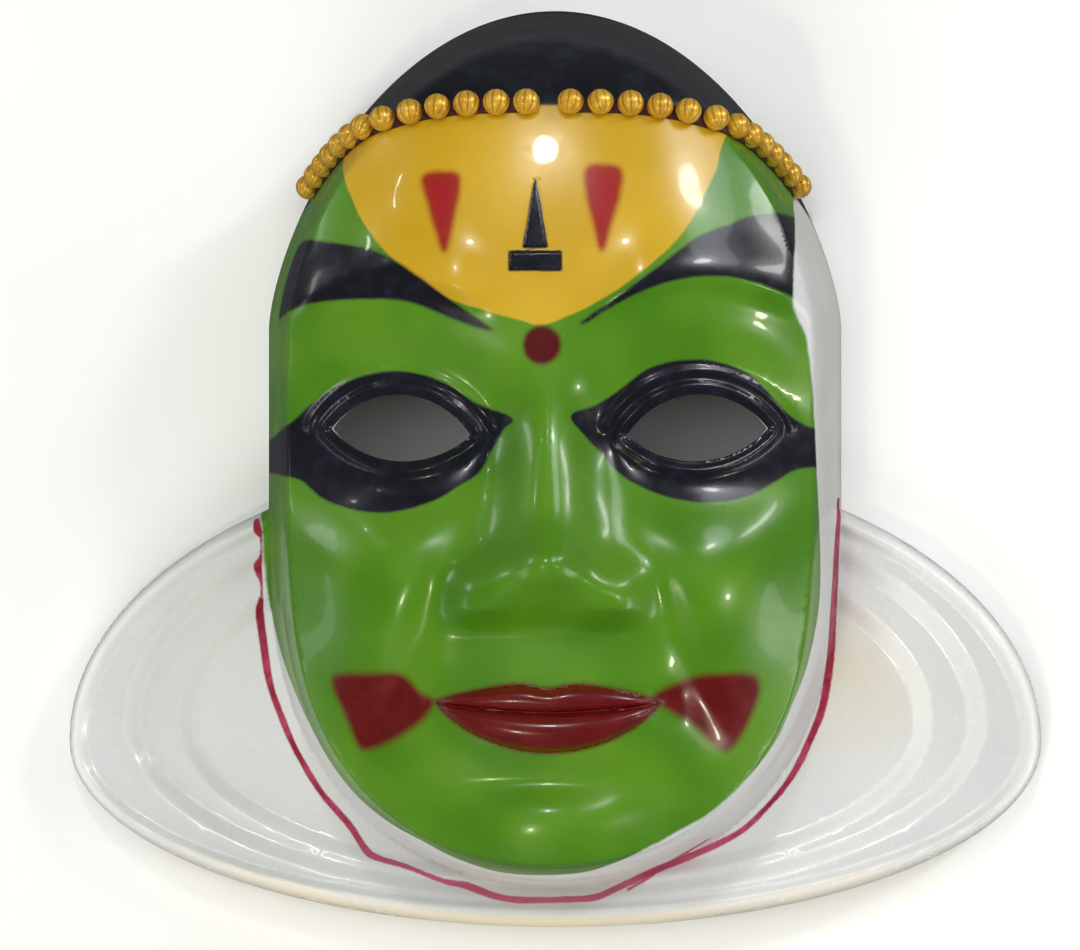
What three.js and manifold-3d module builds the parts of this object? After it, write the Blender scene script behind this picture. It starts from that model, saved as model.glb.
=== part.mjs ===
// A theatre mask of thin glossy plastic, formed as one sheet: a hair crown, a full face with two
// almond eye holes and a wide stepped ruff round the jaw. Two gold bead trims follow the hairline.
// The mask lies on its back: x runs across the face, +y towards the crown and +z out of the face.
// The origin is at the middle of the mask, in the plane that its cut edge rests on.

import * as THREE from 'three';
import { mergeVertices } from 'three/addons/utils/BufferGeometryUtils.js';
import Module from 'manifold-3d';

const wasm = await Module();
wasm.setup();

// Sizes of the sheet, in millimetres
const maskHeight = 233;
const faceWidth = 146;
const sheetThickness = 1.2;
const foreheadDepth = 70;
const wallDraft = 10;
const shoulderBlend = 12;

// Face height from hairline to chin, in three equal thirds, and the rise of the crown above it
const crownRise = 30;
const faceHeight = 186;
const chinBorder = 7;
const crownRoundness = 1.5;
const crownBlend = 37;
const jawRoundness = 2.9;

// Ruff: its outer edge, its crest, and two rings where the dish steps down towards the face. Each
// ring stays a little inside the outer edge, by its own lengths, and has its middle higher.
const ruffWidth = 247;
const ruffUpperReach = 72.5;
const ruffLowerReach = 47.5;
const skirtWidth = 3.2;
const skirtWidthBelow = 6;
const rimRoll = 3.4;
const rimRollHeight = 1.8;
const ringLift = 5;
const outerRingInset = { side: 13.8, above: 12.5, below: 3.1 };
const innerRingInset = { side: 27, above: 21.5, below: 6.9 };
const ringWidth = 6.5;
const ringStep = 2.6;
const dishHeight = 7;
const ruffLift = 9;

// Eye holes
const eyeHoleLength = 34;
const eyeHoleUpper = 9;
const eyeHoleLower = 7;
const eyeTilt = 3;

// How far the features stand out of the rounded front, or sink into it
const browRise = 3.4;
const socketDepth = 9.5;
const eyeballRise = 6;
const lidRise = 1.4;
const lidFoldRise = 1.1;
const bridgeRise = 17.5;
const noseBallRise = 6;
const wingRise = 9;
const cheekRise = 6;
const smileFold = 2;
const muzzleRise = 4.5;
const lipRise = 4.2;
const chinRise = 6;

// Lips, and the raised mark on the forehead: a narrow spire over a short bar
const upperLip = 6.8;
const lowerLip = 9.4;
const markOffset = -3;
const markRise = 0.9;
const spireHeight = 16;
const spireWidth = 5.4;
const barWidth = 12;
const barHeight = 4.2;

// Bead trims along the hairline
const beadDiameter = 6.5;
const beadPitch = 7;
const beadHeight = 5.4;
const trimGap = 10.4;
const ribbonWidth = 2.8;
const ribbonThickness = 0.8;
const ribbonRise = 0.7;
const glueGap = 0.3;
const trimEnd = 60;
const hairlineFall = 17.4;

// How closely the flat faces follow the round forms
const faceTolerance = 0.85;
const shortestEdge = 1.9;
const sectors = 72;
const headRings = 10;
const beadSides = 7;
const cutDepth = 5;

// Places that follow from the sizes
const halfFace = faceWidth / 2;
const crownTop = maskHeight / 2;
const hairlineY = crownTop - crownRise;
const third = faceHeight / 3;
const browY = hairlineY - third;
const noseBaseY = browY - third;
const chinY = noseBaseY - third;
const mouthY = noseBaseY - third / 3;
const eyeY = (crownTop + chinY) / 2;
const eyeX = eyeHoleLength * 1.05;
const crownCentreY = browY + 0.18 * third;
const jawCentreY = browY - 0.52 * third;
const jawFootY = chinY - chinBorder;
const ruffCentreY = ruffLowerReach - maskHeight / 2;
const wallSlope = 1 / Math.tan(THREE.MathUtils.degToRad(wallDraft));

const mix = THREE.MathUtils.lerp;
const clamp = THREE.MathUtils.clamp;
const bump = (dx, dy, rx, ry) => Math.exp(-((dx / rx) ** 2) - (dy / ry) ** 2);
const mound = (dx, dy, rx, ry, power) => Math.exp(-(((dx / rx) ** 2 + (dy / ry) ** 2) ** power));

// Soft step from 0 at one value to 1 at another, which may be the lower of the two
function smooth(from, to, value) {
  const share = clamp((value - from) / (to - from), 0, 1);
  return share * share * (3 - 2 * share);
}

// Smallest of two heights, with a round fillet where they meet
function filletMin(a, b, blend) {
  const h = Math.max(blend - Math.abs(a - b), 0) / blend;
  return Math.min(a, b) - (h * h * blend) / 4;
}

// Oval that the face and crown stand on: what is left of the way to the edge, and the distance to it
function ovalMeasure(x, y) {
  let beyond = 0;
  let reach = 1;
  let power = 2;
  if (y > crownCentreY) {
    beyond = y - crownCentreY;
    reach = crownTop - crownCentreY;
    power = crownRoundness;
  } else if (y < jawCentreY) {
    beyond = jawCentreY - y;
    reach = jawCentreY - jawFootY;
    power = jawRoundness;
  }
  const left = 1 - (x / halfFace) ** 2 - (beyond / reach) ** power;
  const slopeX = (2 * x) / halfFace ** 2;
  const slopeY = (power * (beyond / reach) ** (power - 1)) / reach;
  return { left, distance: left / Math.max(Math.hypot(slopeX, slopeY), 0.01) };
}

// Half width of the oval at a height on the face
function ovalHalf(y) {
  const left = ovalMeasure(0, y).left;
  return halfFace * Math.sqrt(clamp(left, 0, 1));
}

// Rounded front of the head before its features
function headFront(x, y) {
  const foreheadY = browY + 0.28 * third;
  const side = Math.abs(x) / mix(halfFace, Math.max(ovalHalf(y), 0.35 * halfFace), 0.6);
  const above = Math.max(y - foreheadY, 0);
  const below = Math.max(foreheadY - y, 0);
  const overCrown = Math.max(y - hairlineY, 0);
  let z = foreheadDepth * (1 - 0.4 * side ** 2.5);
  z -= 0.0032 * above ** 2 + 0.0004 * below ** 2;
  return z - 0.036 * overCrown ** 2;
}

// Raised arch of the brow, from beside the nose to the temple
function browRidge(x, y) {
  const inner = 0.12 * halfFace;
  const outer = 0.93 * halfFace;
  const along = clamp((Math.abs(x) - inner) / (outer - inner), 0, 1);
  const archY = browY + third * (0.2 + 0.15 * Math.sin(Math.PI * along ** 0.9));
  const strength = smooth(0, 0.25, along) * smooth(1, 0.8, along);
  return browRise * strength * bump(0, y - archY, 1, y > archY ? 10 : 3.6);
}

// Upper and lower arc of an eye hole, as the radius of each and how far its middle is off the line
const lidArc = (rise) => {
  const radius = (eyeHoleLength ** 2 / 4 + rise ** 2) / (2 * rise);
  return { radius, offset: radius - rise };
};
const upperArc = lidArc(eyeHoleUpper);
const lowerArc = lidArc(eyeHoleLower);

// Distance from the rim of an eye hole, with the hole itself negative
function eyeDistance(x, y) {
  const turn = THREE.MathUtils.degToRad(eyeTilt);
  const dx = Math.abs(x) - eyeX;
  const dy = y - eyeY;
  const along = dx * Math.cos(turn) + dy * Math.sin(turn);
  const up = dy * Math.cos(turn) - dx * Math.sin(turn);
  const fromUpper = Math.hypot(along, up + upperArc.offset) - upperArc.radius;
  const fromLower = Math.hypot(along, up - lowerArc.offset) - lowerArc.radius;
  const nearest = Math.max(fromUpper, fromLower);
  if (nearest < 0) return nearest;
  const isUpper = fromUpper > fromLower;
  const arc = isUpper ? upperArc : lowerArc;
  const lift = (isUpper ? up : -up) + arc.offset;
  const onArc = (arc.radius * lift) / Math.hypot(along, lift) >= arc.offset;
  return onArc ? nearest : Math.hypot(Math.abs(along) - eyeHoleLength / 2, up);
}

// Socket, rounded lids and the double rim round each eye hole
function eyeRelief(x, y) {
  const dx = Math.abs(x) - eyeX;
  const dy = y - eyeY;
  const away = eyeDistance(x, y);
  const near = smooth(33, 22, Math.hypot(dx, 1.3 * dy));
  const lid = lidRise * Math.exp(-(((away - 2.2) / 1.3) ** 2));
  const fold = lidFoldRise * Math.exp(-(((away - 5.6) / 1.4) ** 2)) * smooth(-1, 2, dy);
  const eyeball = eyeballRise * mound(dx, dy, 20, 13, 1.3);
  const socket = mound(dx, dy - 0.5, 29, 19, 1.4) + 0.37 * bump(Math.abs(x) - 15, dy + 1, 8, 11);
  return eyeball - socketDepth * socket + (lid + fold) * near;
}

// Nose: bridge, ball and two wings, cut off below
function noseRelief(x, y) {
  const tipY = noseBaseY + 0.22 * third;
  const startY = browY + 10;
  const along = clamp((startY - y) / (startY - tipY), 0, 1.3);
  const width = mix(7.5, 11.5, along);
  const bridge = bridgeRise * along ** 1.6 * Math.exp(-(Math.abs(x / width) ** 2.2));
  const ball = noseBallRise * bump(x, y - tipY, 9.5, 7.5);
  const wingX = Math.abs(Math.abs(x) - 15) / 8.5;
  const wingY = Math.abs(y - noseBaseY - 6.5) / 9;
  const wing = wingRise * Math.exp(-(wingX ** 2.4) - wingY ** 2.4);
  const under = noseBaseY - 3.5;
  return bridge * smooth(under, tipY + 5.5, y) + ball + wing * smooth(under, under + 8, y);
}

// Cheeks and the fold that runs from the nose to the corner of the mouth
function cheekRelief(x, y) {
  const outward = Math.abs(x) - 0.53 * halfFace;
  const fullness = cheekRise * mound(outward, y - noseBaseY - 9, 19, 20, 1.2);
  const startY = noseBaseY + 0.15 * third;
  const foldX = (0.36 + (0.16 * (startY - y)) / (startY - mouthY)) * halfFace;
  const strength = smooth(mouthY - 14, mouthY + 6, y) * smooth(startY + 16, startY - 6, y);
  return fullness - smileFold * strength * bump(Math.abs(x) - foldX, 0, 5, 1);
}

// Lips, full in the middle and closed along a line that rises a little to its ends
function lipRelief(x, y) {
  const half = 0.37 * halfFace;
  const side = Math.min(Math.abs(x) / half, 1);
  const muzzle = muzzleRise * mound(x, y - mouthY + 1, 31, 20, 1.3);
  const corner = 0.33 * muzzleRise * bump(Math.abs(x) - half - 1, y - mouthY - 2.5, 4, 4);
  const lineY = mouthY + 2.2 * side ** 2;
  const upper = upperLip * (1 - 0.2 * Math.exp(-((x / 4.5) ** 2))) * (1 - side ** 2);
  const lower = lowerLip * (1 - side ** 2) ** 0.8;
  const share = clamp(Math.abs(y - lineY) / Math.max(y > lineY ? upper : lower, 0.01), 0, 1);
  const swell = (y > lineY ? 0.62 : 1) * lipRise * (4 * share * (1 - share)) ** 0.6;
  return muzzle - corner + swell * Math.sqrt(1 - side ** 2);
}

// Hollow under the lower lip and the ball of the chin
function chinRelief(x, y) {
  const hollow = 0.53 * bump(x, y - mouthY + 16.5, 20, 4.5);
  return chinRise * (mound(x, y - chinY - 12.5, 19, 11, 1.2) - hollow);
}

// Raised forehead mark with steep sides
function markRelief(x, y) {
  const wall = 0.5;
  const fromMiddle = Math.abs(x - markOffset);
  const above = y - browY - 0.45 * third;
  const barY = Math.abs(above + 0.8 * barHeight) - barHeight / 2;
  const bar = smooth(wall, -wall, fromMiddle - barWidth / 2) * smooth(wall, -wall, barY);
  const half = (spireWidth / 2) * clamp(1 - above / spireHeight, 0, 1);
  const ends = smooth(-2 * wall, 0, above) * smooth(wall, -wall, above - spireHeight);
  return markRise * Math.max(bar, smooth(wall, -wall, fromMiddle - half) * ends);
}

// Height of the face and crown above the back plane
function headHeight(x, y) {
  const relief = browRidge(x, y) + eyeRelief(x, y) + noseRelief(x, y) + cheekRelief(x, y);
  const lower = lipRelief(x, y) + chinRelief(x, y) + markRelief(x, y);
  const wall = ovalMeasure(x, y).distance * wallSlope;
  const blend = mix(shoulderBlend, crownBlend, smooth(hairlineY - crownRise, crownTop, y));
  return filletMin(wall, headFront(x, y) + relief + lower, blend);
}

// Distance from the middle of the ruff to an egg-shaped ring, in one direction
function ringRadius(ring, angle) {
  const up = Math.sin(angle);
  const reach = up * Math.hypot(ring.half, ring.lift) > ring.lift ? ring.upper : ring.lower;
  const square = (Math.cos(angle) / ring.half) ** 2 + (up / reach) ** 2;
  const slope = (ring.lift * up) / reach ** 2;
  return (slope + Math.sqrt(slope ** 2 + square * (1 - (ring.lift / reach) ** 2))) / square;
}

function insetRing(ring, side, below, above = side) {
  return { ...ring, half: ring.half - side, upper: ring.upper - above, lower: ring.lower - below };
}

// Ring of the dish, from how far it stays inside the ruff's edge
function dishRing({ side, above, below }) {
  return { ...insetRing(ruffEdge, side, below, above), lift: ringLift };
}

const ruffEdge = { half: ruffWidth / 2, upper: ruffUpperReach, lower: ruffLowerReach, lift: 0 };
const ruffCrest = insetRing(ruffEdge, skirtWidth, skirtWidthBelow);
const ruffRollFoot = insetRing(ruffCrest, rimRoll, rimRoll / 2);
const outerRing = dishRing(outerRingInset);
const innerRing = dishRing(innerRingInset);
const outerRingFoot = insetRing(outerRing, ringWidth, ringWidth / 2);
const innerRingFoot = insetRing(innerRing, ringWidth, ringWidth / 2);

// Height of the ruff: a dish that steps up to a rolled rim, then turns down to the cut edge
function ruffHeight(x, y) {
  const dy = y - ruffCentreY;
  const angle = Math.atan2(dy, x);
  const radius = Math.hypot(x, dy);
  const stepUp = (low, high) => smooth(ringRadius(low, angle), ringRadius(high, angle), radius);
  const lift = ruffLift * clamp(-dy / ruffLowerReach, 0, 1) ** 1.5;
  const steps = ringStep * (stepUp(innerRingFoot, innerRing) + stepUp(outerRingFoot, outerRing));
  const roll = rimRollHeight * stepUp(ruffRollFoot, ruffCrest);
  const crest = ringRadius(ruffCrest, angle);
  const over = (radius - crest) / (ringRadius(ruffEdge, angle) - crest);
  const turned = Math.sqrt(1 - clamp(over, 0, 1) ** 2);
  return (dishHeight + lift + steps + roll) * turned;
}

// Moves a point of a height surface into the sheet, square to the surface
function sinkPoint(height, x, y, z, depth) {
  const step = 1;
  const slopeX = (height(x + step, y) - height(x - step, y)) / (2 * step);
  const slopeY = (height(x, y + step) - height(x, y - step)) / (2 * step);
  const scale = depth / Math.hypot(slopeX, slopeY, 1);
  return [x + slopeX * scale, y + slopeY * scale, z - scale];
}

// Closed solid below a sheet of points, straight down from its rim to the cut depth
function solidBelow(points, triangles, rim) {
  const vertices = points.flat();
  const faces = triangles.flat();
  const lower = rim.map((index, i) => points.length + i);
  for (const index of rim) vertices.push(points[index][0], points[index][1], -cutDepth);
  const middle = points.length + rim.length;
  vertices.push(0, points[0][1], -cutDepth);
  rim.forEach((index, i) => {
    const next = (i + 1) % rim.length;
    faces.push(index, lower[i], rim[next]);
    faces.push(rim[next], lower[i], lower[next]);
    faces.push(lower[i], middle, lower[next]);
  });
  return manifold(new Float32Array(vertices), new Uint32Array(faces));
}

function manifold(vertProperties, triVerts) {
  return new wasm.Manifold(new wasm.Mesh({ numProp: 3, vertProperties, triVerts }));
}

// Solid from a closed three.js geometry
function solidFromGeometry(geometry) {
  const plain = geometry.clone();
  plain.deleteAttribute('normal');
  plain.deleteAttribute('uv');
  const merged = mergeVertices(plain, 1e-4);
  return manifold(merged.attributes.position.array, new Uint32Array(merged.index.array));
}

// Middle point, then rings of points outwards, joined by triangles
function ringSheet(count, rings, place) {
  const points = [place(0, 0)];
  const triangles = [];
  for (let ring = 0; ring < rings; ring++) {
    for (let i = 0; i < count; i++) points.push(place(ring + 1, (2 * Math.PI * i) / count));
  }
  const at = (ring, i) => 1 + ring * count + (i % count);
  for (let i = 0; i < count; i++) triangles.push([0, at(0, i), at(0, i + 1)]);
  for (let ring = 1; ring < rings; ring++) {
    for (let i = 0; i < count; i++) {
      triangles.push([at(ring - 1, i), at(ring, i), at(ring, i + 1)]);
      triangles.push([at(ring - 1, i), at(ring, i + 1), at(ring - 1, i + 1)]);
    }
  }
  return { points, triangles };
}

// Point of the head's oval in a direction from the middle of the face
function ovalPoint(angle, share) {
  const middleY = eyeY - 0.36 * third;
  let inside = 0;
  let outside = maskHeight;
  for (let i = 0; i < 40; i++) {
    const radius = (inside + outside) / 2;
    const place = [radius * Math.cos(angle), middleY + radius * Math.sin(angle)];
    if (ovalMeasure(place[0], place[1]).left > 0) inside = radius;
    else outside = radius;
  }
  return [inside * share * Math.cos(angle), middleY + inside * share * Math.sin(angle), angle];
}

// How far the surface stands from a flat triangle, square to it
function triangleError(corners, height) {
  const [a, b, c] = corners;
  const level = corners.map(([x, y]) => height(x, y));
  const area = (b[0] - a[0]) * (c[1] - a[1]) - (c[0] - a[0]) * (b[1] - a[1]);
  const riseB = level[1] - level[0];
  const riseC = level[2] - level[0];
  const slopeX = (riseB * (c[1] - a[1]) - riseC * (b[1] - a[1])) / area;
  const slopeY = (riseC * (b[0] - a[0]) - riseB * (c[0] - a[0])) / area;
  let worst = 0;
  for (const share of [[1, 1, 0], [0, 1, 1], [1, 0, 1], [1, 1, 1], [2, 1, 1], [1, 2, 1], [1, 1, 2]]) {
    const total = share[0] + share[1] + share[2];
    const blend = (k) => (a[k] * share[0] + b[k] * share[1] + c[k] * share[2]) / total;
    const flat = (level[0] * share[0] + level[1] * share[1] + level[2] * share[2]) / total;
    worst = Math.max(worst, Math.abs(height(blend(0), blend(1)) - flat));
  }
  return worst / Math.hypot(slopeX, slopeY, 1);
}

// Halves the longest edges of the triangles that stand too far from the surface
function refineOnce(points, triangles, rim) {
  const key = (a, b) => (a < b ? `${a}_${b}` : `${b}_${a}`);
  const length = (a, b) => Math.hypot(points[a][0] - points[b][0], points[a][1] - points[b][1]);
  const turned = triangles.map(([a, b, c]) => {
    const edges = [length(a, b), length(b, c), length(c, a)];
    if (edges[0] >= edges[1] && edges[0] >= edges[2]) return [a, b, c];
    return edges[1] >= edges[2] ? [b, c, a] : [c, a, b];
  });
  const cut = new Set();
  for (const [a, b, c] of turned) {
    const corners = [points[a], points[b], points[c]];
    if (length(a, b) < shortestEdge * 1.4) continue;
    if (triangleError(corners, headHeight) > faceTolerance) cut.add(key(a, b));
  }
  const wanted = cut.size;
  for (let before = -1; before !== cut.size; ) {
    before = cut.size;
    for (const [a, b, c] of turned) {
      if (cut.has(key(b, c)) || cut.has(key(c, a))) cut.add(key(a, b));
    }
  }
  const middles = new Map();
  for (const name of cut) {
    const [a, b] = name.split('_').map(Number);
    middles.set(name, points.length);
    if (rim.has(a) && rim.has(b)) {
      const turn = points[b][2] - points[a][2];
      const between = points[a][2] + Math.atan2(Math.sin(turn), Math.cos(turn)) / 2;
      points.push(ovalPoint(between, 1));
      rim.add(points.length - 1);
    } else {
      points.push([(points[a][0] + points[b][0]) / 2, (points[a][1] + points[b][1]) / 2, 0]);
    }
  }
  const result = [];
  for (const [a, b, c] of turned) {
    const ab = middles.get(key(a, b));
    if (ab === undefined) {
      result.push([a, b, c]);
      continue;
    }
    const bc = middles.get(key(b, c));
    const ca = middles.get(key(c, a));
    result.push(...(ca === undefined ? [[a, ab, c]] : [[a, ab, ca], [ca, ab, c]]));
    result.push(...(bc === undefined ? [[ab, b, c]] : [[ab, b, bc], [ab, bc, c]]));
  }
  return { triangles: result, wanted };
}

// Round sheet of even triangles: each ring has six more points than the one inside it
function evenSheet(rings, place) {
  const points = [place(0, 0)];
  const triangles = [];
  const at = (ring, i) => (ring === 0 ? 0 : 1 + 3 * ring * (ring - 1) + (i % (6 * ring)));
  for (let ring = 1; ring <= rings; ring++) {
    for (let i = 0; i < 6 * ring; i++) points.push(place(ring / rings, (Math.PI * i) / (3 * ring)));
    for (let sixth = 0; sixth < 6; sixth++) {
      for (let i = 0; i < ring; i++) {
        const outer = sixth * ring + i;
        const inner = sixth * (ring - 1) + i;
        triangles.push([at(ring - 1, inner), at(ring, outer), at(ring, outer + 1)]);
        if (i < ring - 1) {
          triangles.push([at(ring - 1, inner), at(ring, outer + 1), at(ring - 1, inner + 1)]);
        }
      }
    }
  }
  return { points, triangles };
}

// Triangles over the head's oval, small where the face has detail
function headSheet() {
  const sheet = evenSheet(headRings, (share, angle) => ovalPoint(angle, share));
  const rim = new Set();
  for (let i = 1; i <= 6 * headRings; i++) rim.add(sheet.points.length - i);
  let triangles = sheet.triangles;
  for (let wanted = 1; wanted > 0; ) {
    const next = refineOnce(sheet.points, triangles, rim);
    triangles = next.triangles;
    wanted = next.wanted;
  }
  const around = (index) => (sheet.points[index][2] + 2 * Math.PI) % (2 * Math.PI);
  const ordered = [...rim].sort((a, b) => around(a) - around(b));
  return { points: sheet.points, triangles, rim: ordered };
}

// Solid of the head, sunk by a depth for its hollow
function headSolid(sheet, depth) {
  const points = sheet.points.map(([x, y], index) => {
    const z = sheet.rim.includes(index) ? 0 : headHeight(x, y);
    return sinkPoint(headHeight, x, y, z, depth);
  });
  return solidBelow(points, sheet.triangles, sheet.rim);
}

// Solid of the ruff, sunk by a depth for its hollow
function ruffSolid(depth) {
  const middle = insetRing(innerRingFoot, 0.25 * innerRing.half, 0.25 * innerRing.lower);
  const nearEdge = insetRing(ruffEdge, 0.12 * skirtWidth, 0.12 * skirtWidthBelow);
  const halfWay = insetRing(ruffEdge, 0.45 * skirtWidth, 0.45 * skirtWidthBelow);
  const dish = [middle, innerRingFoot, innerRing, outerRingFoot, outerRing];
  const rings = [...dish, ruffRollFoot, ruffCrest, halfWay, nearEdge, ruffEdge];
  const inner = insetRing(ruffEdge, depth, depth);
  const place = (ring, angle) => {
    if (ring === 0) return [0, ruffCentreY, dishHeight - depth];
    const last = ring === rings.length;
    const radius = ringRadius(last ? inner : rings[ring - 1], angle);
    const x = radius * Math.cos(angle);
    const y = ruffCentreY + radius * Math.sin(angle);
    if (last) return [x, y, 0];
    return sinkPoint(ruffHeight, x, y, ruffHeight(x, y), depth);
  };
  const sheet = ringSheet(sectors, rings.length, place);
  const rim = Array.from({ length: sectors }, (_, i) => 1 + (rings.length - 1) * sectors + i);
  return solidBelow(sheet.points, sheet.triangles, rim);
}

// Prism through the sheet for one eye hole
function eyePrism(side) {
  const outline = new THREE.Shape();
  const spread = (arc) => Math.asin(eyeHoleLength / 2 / arc.radius);
  const up = Math.PI / 2;
  const [upper, lower] = [spread(upperArc), spread(lowerArc)];
  outline.absarc(0, -upperArc.offset, upperArc.radius, up - upper, up + upper, false);
  outline.absarc(0, lowerArc.offset, lowerArc.radius, -up - lower, -up + lower, false);
  const options = { depth: 2 * foreheadDepth, bevelEnabled: false, curveSegments: 10 };
  const prism = new THREE.ExtrudeGeometry(outline, options);
  prism.rotateZ(side * THREE.MathUtils.degToRad(eyeTilt));
  prism.translate(side * eyeX, eyeY, 2 * sheetThickness);
  return solidFromGeometry(prism);
}

// Everything behind the plane that the mask rests on
function floorBlock() {
  const block = new THREE.BoxGeometry(2 * ruffWidth, 2 * maskHeight, 4 * cutDepth);
  return solidFromGeometry(block.translate(0, 0, -2 * cutDepth));
}

function maskShell() {
  const sheet = headSheet();
  const outside = headSolid(sheet, 0).add(ruffSolid(0));
  const inside = headSolid(sheet, sheetThickness).add(ruffSolid(sheetThickness));
  let shell = outside.subtract(inside).subtract(floorBlock());
  for (const side of [-1, 1]) shell = shell.subtract(eyePrism(side));
  return shell;
}

// Hairline on the surface, with its direction and the direction square to the sheet
function hairlinePoint(x, y) {
  const base = new THREE.Vector3(x, y, headHeight(x, y));
  const sunk = sinkPoint(headHeight, base.x, base.y, base.z, 1);
  const out = base.clone().sub(new THREE.Vector3(...sunk)).normalize();
  return { base, out };
}

const hairline = (x) => hairlineY - hairlineFall * Math.abs(x / trimEnd) ** 3.6;

// Stations along one trim at even distances on the surface
function trimStations(side, spacing) {
  const stations = [];
  const step = 0.05;
  let travelled = spacing;
  let last = null;
  for (let x = trimGap / 2; x < trimEnd; x += step) {
    const place = hairlinePoint(side * x, hairline(x));
    if (last) travelled += place.base.distanceTo(last.base);
    if (travelled >= spacing) {
      stations.push(place);
      travelled -= spacing;
    }
    last = place;
  }
  stations.forEach((station, i) => {
    const before = stations[Math.max(i - 1, 0)].base;
    const after = stations[Math.min(i + 1, stations.length - 1)].base;
    station.along = after.clone().sub(before).normalize();
  });
  return stations;
}

// Flat-backed round bead standing on the surface
function bead(station) {
  const radius = beadDiameter / 2;
  const profile = [[0, 0], [0.8, 0], [1, 0.45], [0.7, 0.88], [0, 1]];
  const points = profile.map(([share, up]) => new THREE.Vector2(share * radius, up * beadHeight));
  const geometry = new THREE.LatheGeometry(points, beadSides);
  const upright = new THREE.Vector3(0, 1, 0);
  geometry.applyQuaternion(new THREE.Quaternion().setFromUnitVectors(upright, station.out));
  const foot = station.base.clone().addScaledVector(station.out, glueGap);
  geometry.translate(foot.x, foot.y, foot.z);
  return solidFromGeometry(geometry);
}

// Thin ribbon that carries the beads
function ribbon(stations) {
  const vertices = [];
  const faces = [];
  for (const { base, out, along } of stations) {
    const across = new THREE.Vector3().crossVectors(out, along).normalize();
    for (const [wide, up] of [[-1, 0], [1, 0], [1, 1], [-1, 1]]) {
      const point = base.clone().addScaledVector(across, (wide * ribbonWidth) / 2);
      point.addScaledVector(out, ribbonRise + up * ribbonThickness);
      vertices.push(point.x, point.y, point.z);
    }
  }
  const last = 4 * (stations.length - 1);
  for (let i = 0; i < last; i += 4) {
    for (let k = 0; k < 4; k++) {
      const next = (k + 1) % 4;
      faces.push(i + k, i + next, i + 4 + next, i + k, i + 4 + next, i + 4 + k);
    }
  }
  faces.push(0, 2, 1, 0, 3, 2, last, last + 1, last + 2, last, last + 2, last + 3);
  return manifold(new Float32Array(vertices), new Uint32Array(faces));
}

function beadTrim(side) {
  let trim = ribbon(trimStations(side, beadPitch / 2));
  for (const place of trimStations(side, beadPitch)) trim = trim.add(bead(place));
  return trim;
}

function materialOf(color, roughness, metalness) {
  return new THREE.MeshStandardMaterial({ color, roughness, metalness });
}

function meshOf(solid, name, material) {
  const mesh = solid.getMesh();
  const geometry = new THREE.BufferGeometry();
  geometry.setAttribute('position', new THREE.BufferAttribute(new Float32Array(mesh.vertProperties), 3));
  geometry.setIndex(new THREE.BufferAttribute(new Uint32Array(mesh.triVerts), 1));
  geometry.computeVertexNormals();
  const result = new THREE.Mesh(geometry, material);
  result.name = name;
  return result;
}

const group = new THREE.Group();
group.add(meshOf(maskShell(), 'mask_shell', materialOf(0x5c9a28, 0.18, 0)));
group.add(meshOf(beadTrim(-1), 'bead_trim_left', materialOf(0xcda532, 0.3, 0.6)));
group.add(meshOf(beadTrim(1), 'bead_trim_right', materialOf(0xcda532, 0.3, 0.6)));

export default group;
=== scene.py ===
import math
import random

import bpy
import numpy as np
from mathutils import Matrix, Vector


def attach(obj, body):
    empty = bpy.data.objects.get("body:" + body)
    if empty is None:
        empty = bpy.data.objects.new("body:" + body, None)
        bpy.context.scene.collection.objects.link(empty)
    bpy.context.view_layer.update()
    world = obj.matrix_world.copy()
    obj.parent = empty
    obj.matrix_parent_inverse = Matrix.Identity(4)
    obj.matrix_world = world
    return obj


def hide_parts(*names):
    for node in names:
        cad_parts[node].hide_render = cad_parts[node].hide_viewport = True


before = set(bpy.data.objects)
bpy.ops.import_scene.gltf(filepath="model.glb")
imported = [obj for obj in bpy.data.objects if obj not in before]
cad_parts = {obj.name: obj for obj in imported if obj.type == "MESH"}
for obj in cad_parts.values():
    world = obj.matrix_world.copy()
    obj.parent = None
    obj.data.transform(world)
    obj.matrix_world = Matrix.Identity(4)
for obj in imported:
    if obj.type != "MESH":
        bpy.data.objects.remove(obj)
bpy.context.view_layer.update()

MM = 0.001

# Sizes in millimetres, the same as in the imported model
THIRD = 62.0
HALF_FACE = 73.0
FOREHEAD_DEPTH = 70.0
SHEET_THICKNESS = 1.2
WALL_DRAFT = 10
SHOULDER_BLEND, CROWN_BLEND = 12, 37
CROWN_TOP = 116.5
CROWN_RISE = 30
CROWN_ROUNDNESS, JAW_ROUNDNESS = 1.5, 2.9
CHIN_BORDER = 7
HAIRLINE_Y = CROWN_TOP - CROWN_RISE
BROW_Y = HAIRLINE_Y - THIRD
NOSE_BASE_Y = BROW_Y - THIRD
CHIN_Y = NOSE_BASE_Y - THIRD
MOUTH_Y = NOSE_BASE_Y - THIRD / 3
EYE_LENGTH = 34.0
EYE_UPPER, EYE_LOWER = 9, 7
EYE_TILT = math.radians(3)
EYE_Y = (CROWN_TOP + CHIN_Y) / 2
EYE_X = EYE_LENGTH * 1.05
CROWN_CENTRE_Y = BROW_Y + 0.18 * THIRD
JAW_CENTRE_Y = BROW_Y - 0.52 * THIRD
JAW_FOOT_Y = CHIN_Y - CHIN_BORDER
WALL_SLOPE = 1 / math.tan(math.radians(WALL_DRAFT))
LIP_HALF = 0.37 * HALF_FACE
UPPER_LIP, LOWER_LIP = 6.8, 9.4
MARK_X = -3
SPIRE_HEIGHT, SPIRE_HALF = 16, 2.7
BAR_HALF_WIDTH, BAR_HALF_HEIGHT, BAR_DROP = 6, 2.1, 3.36
HAIRLINE_FALL, HAIRLINE_POWER = 17.4, 3.6
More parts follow.
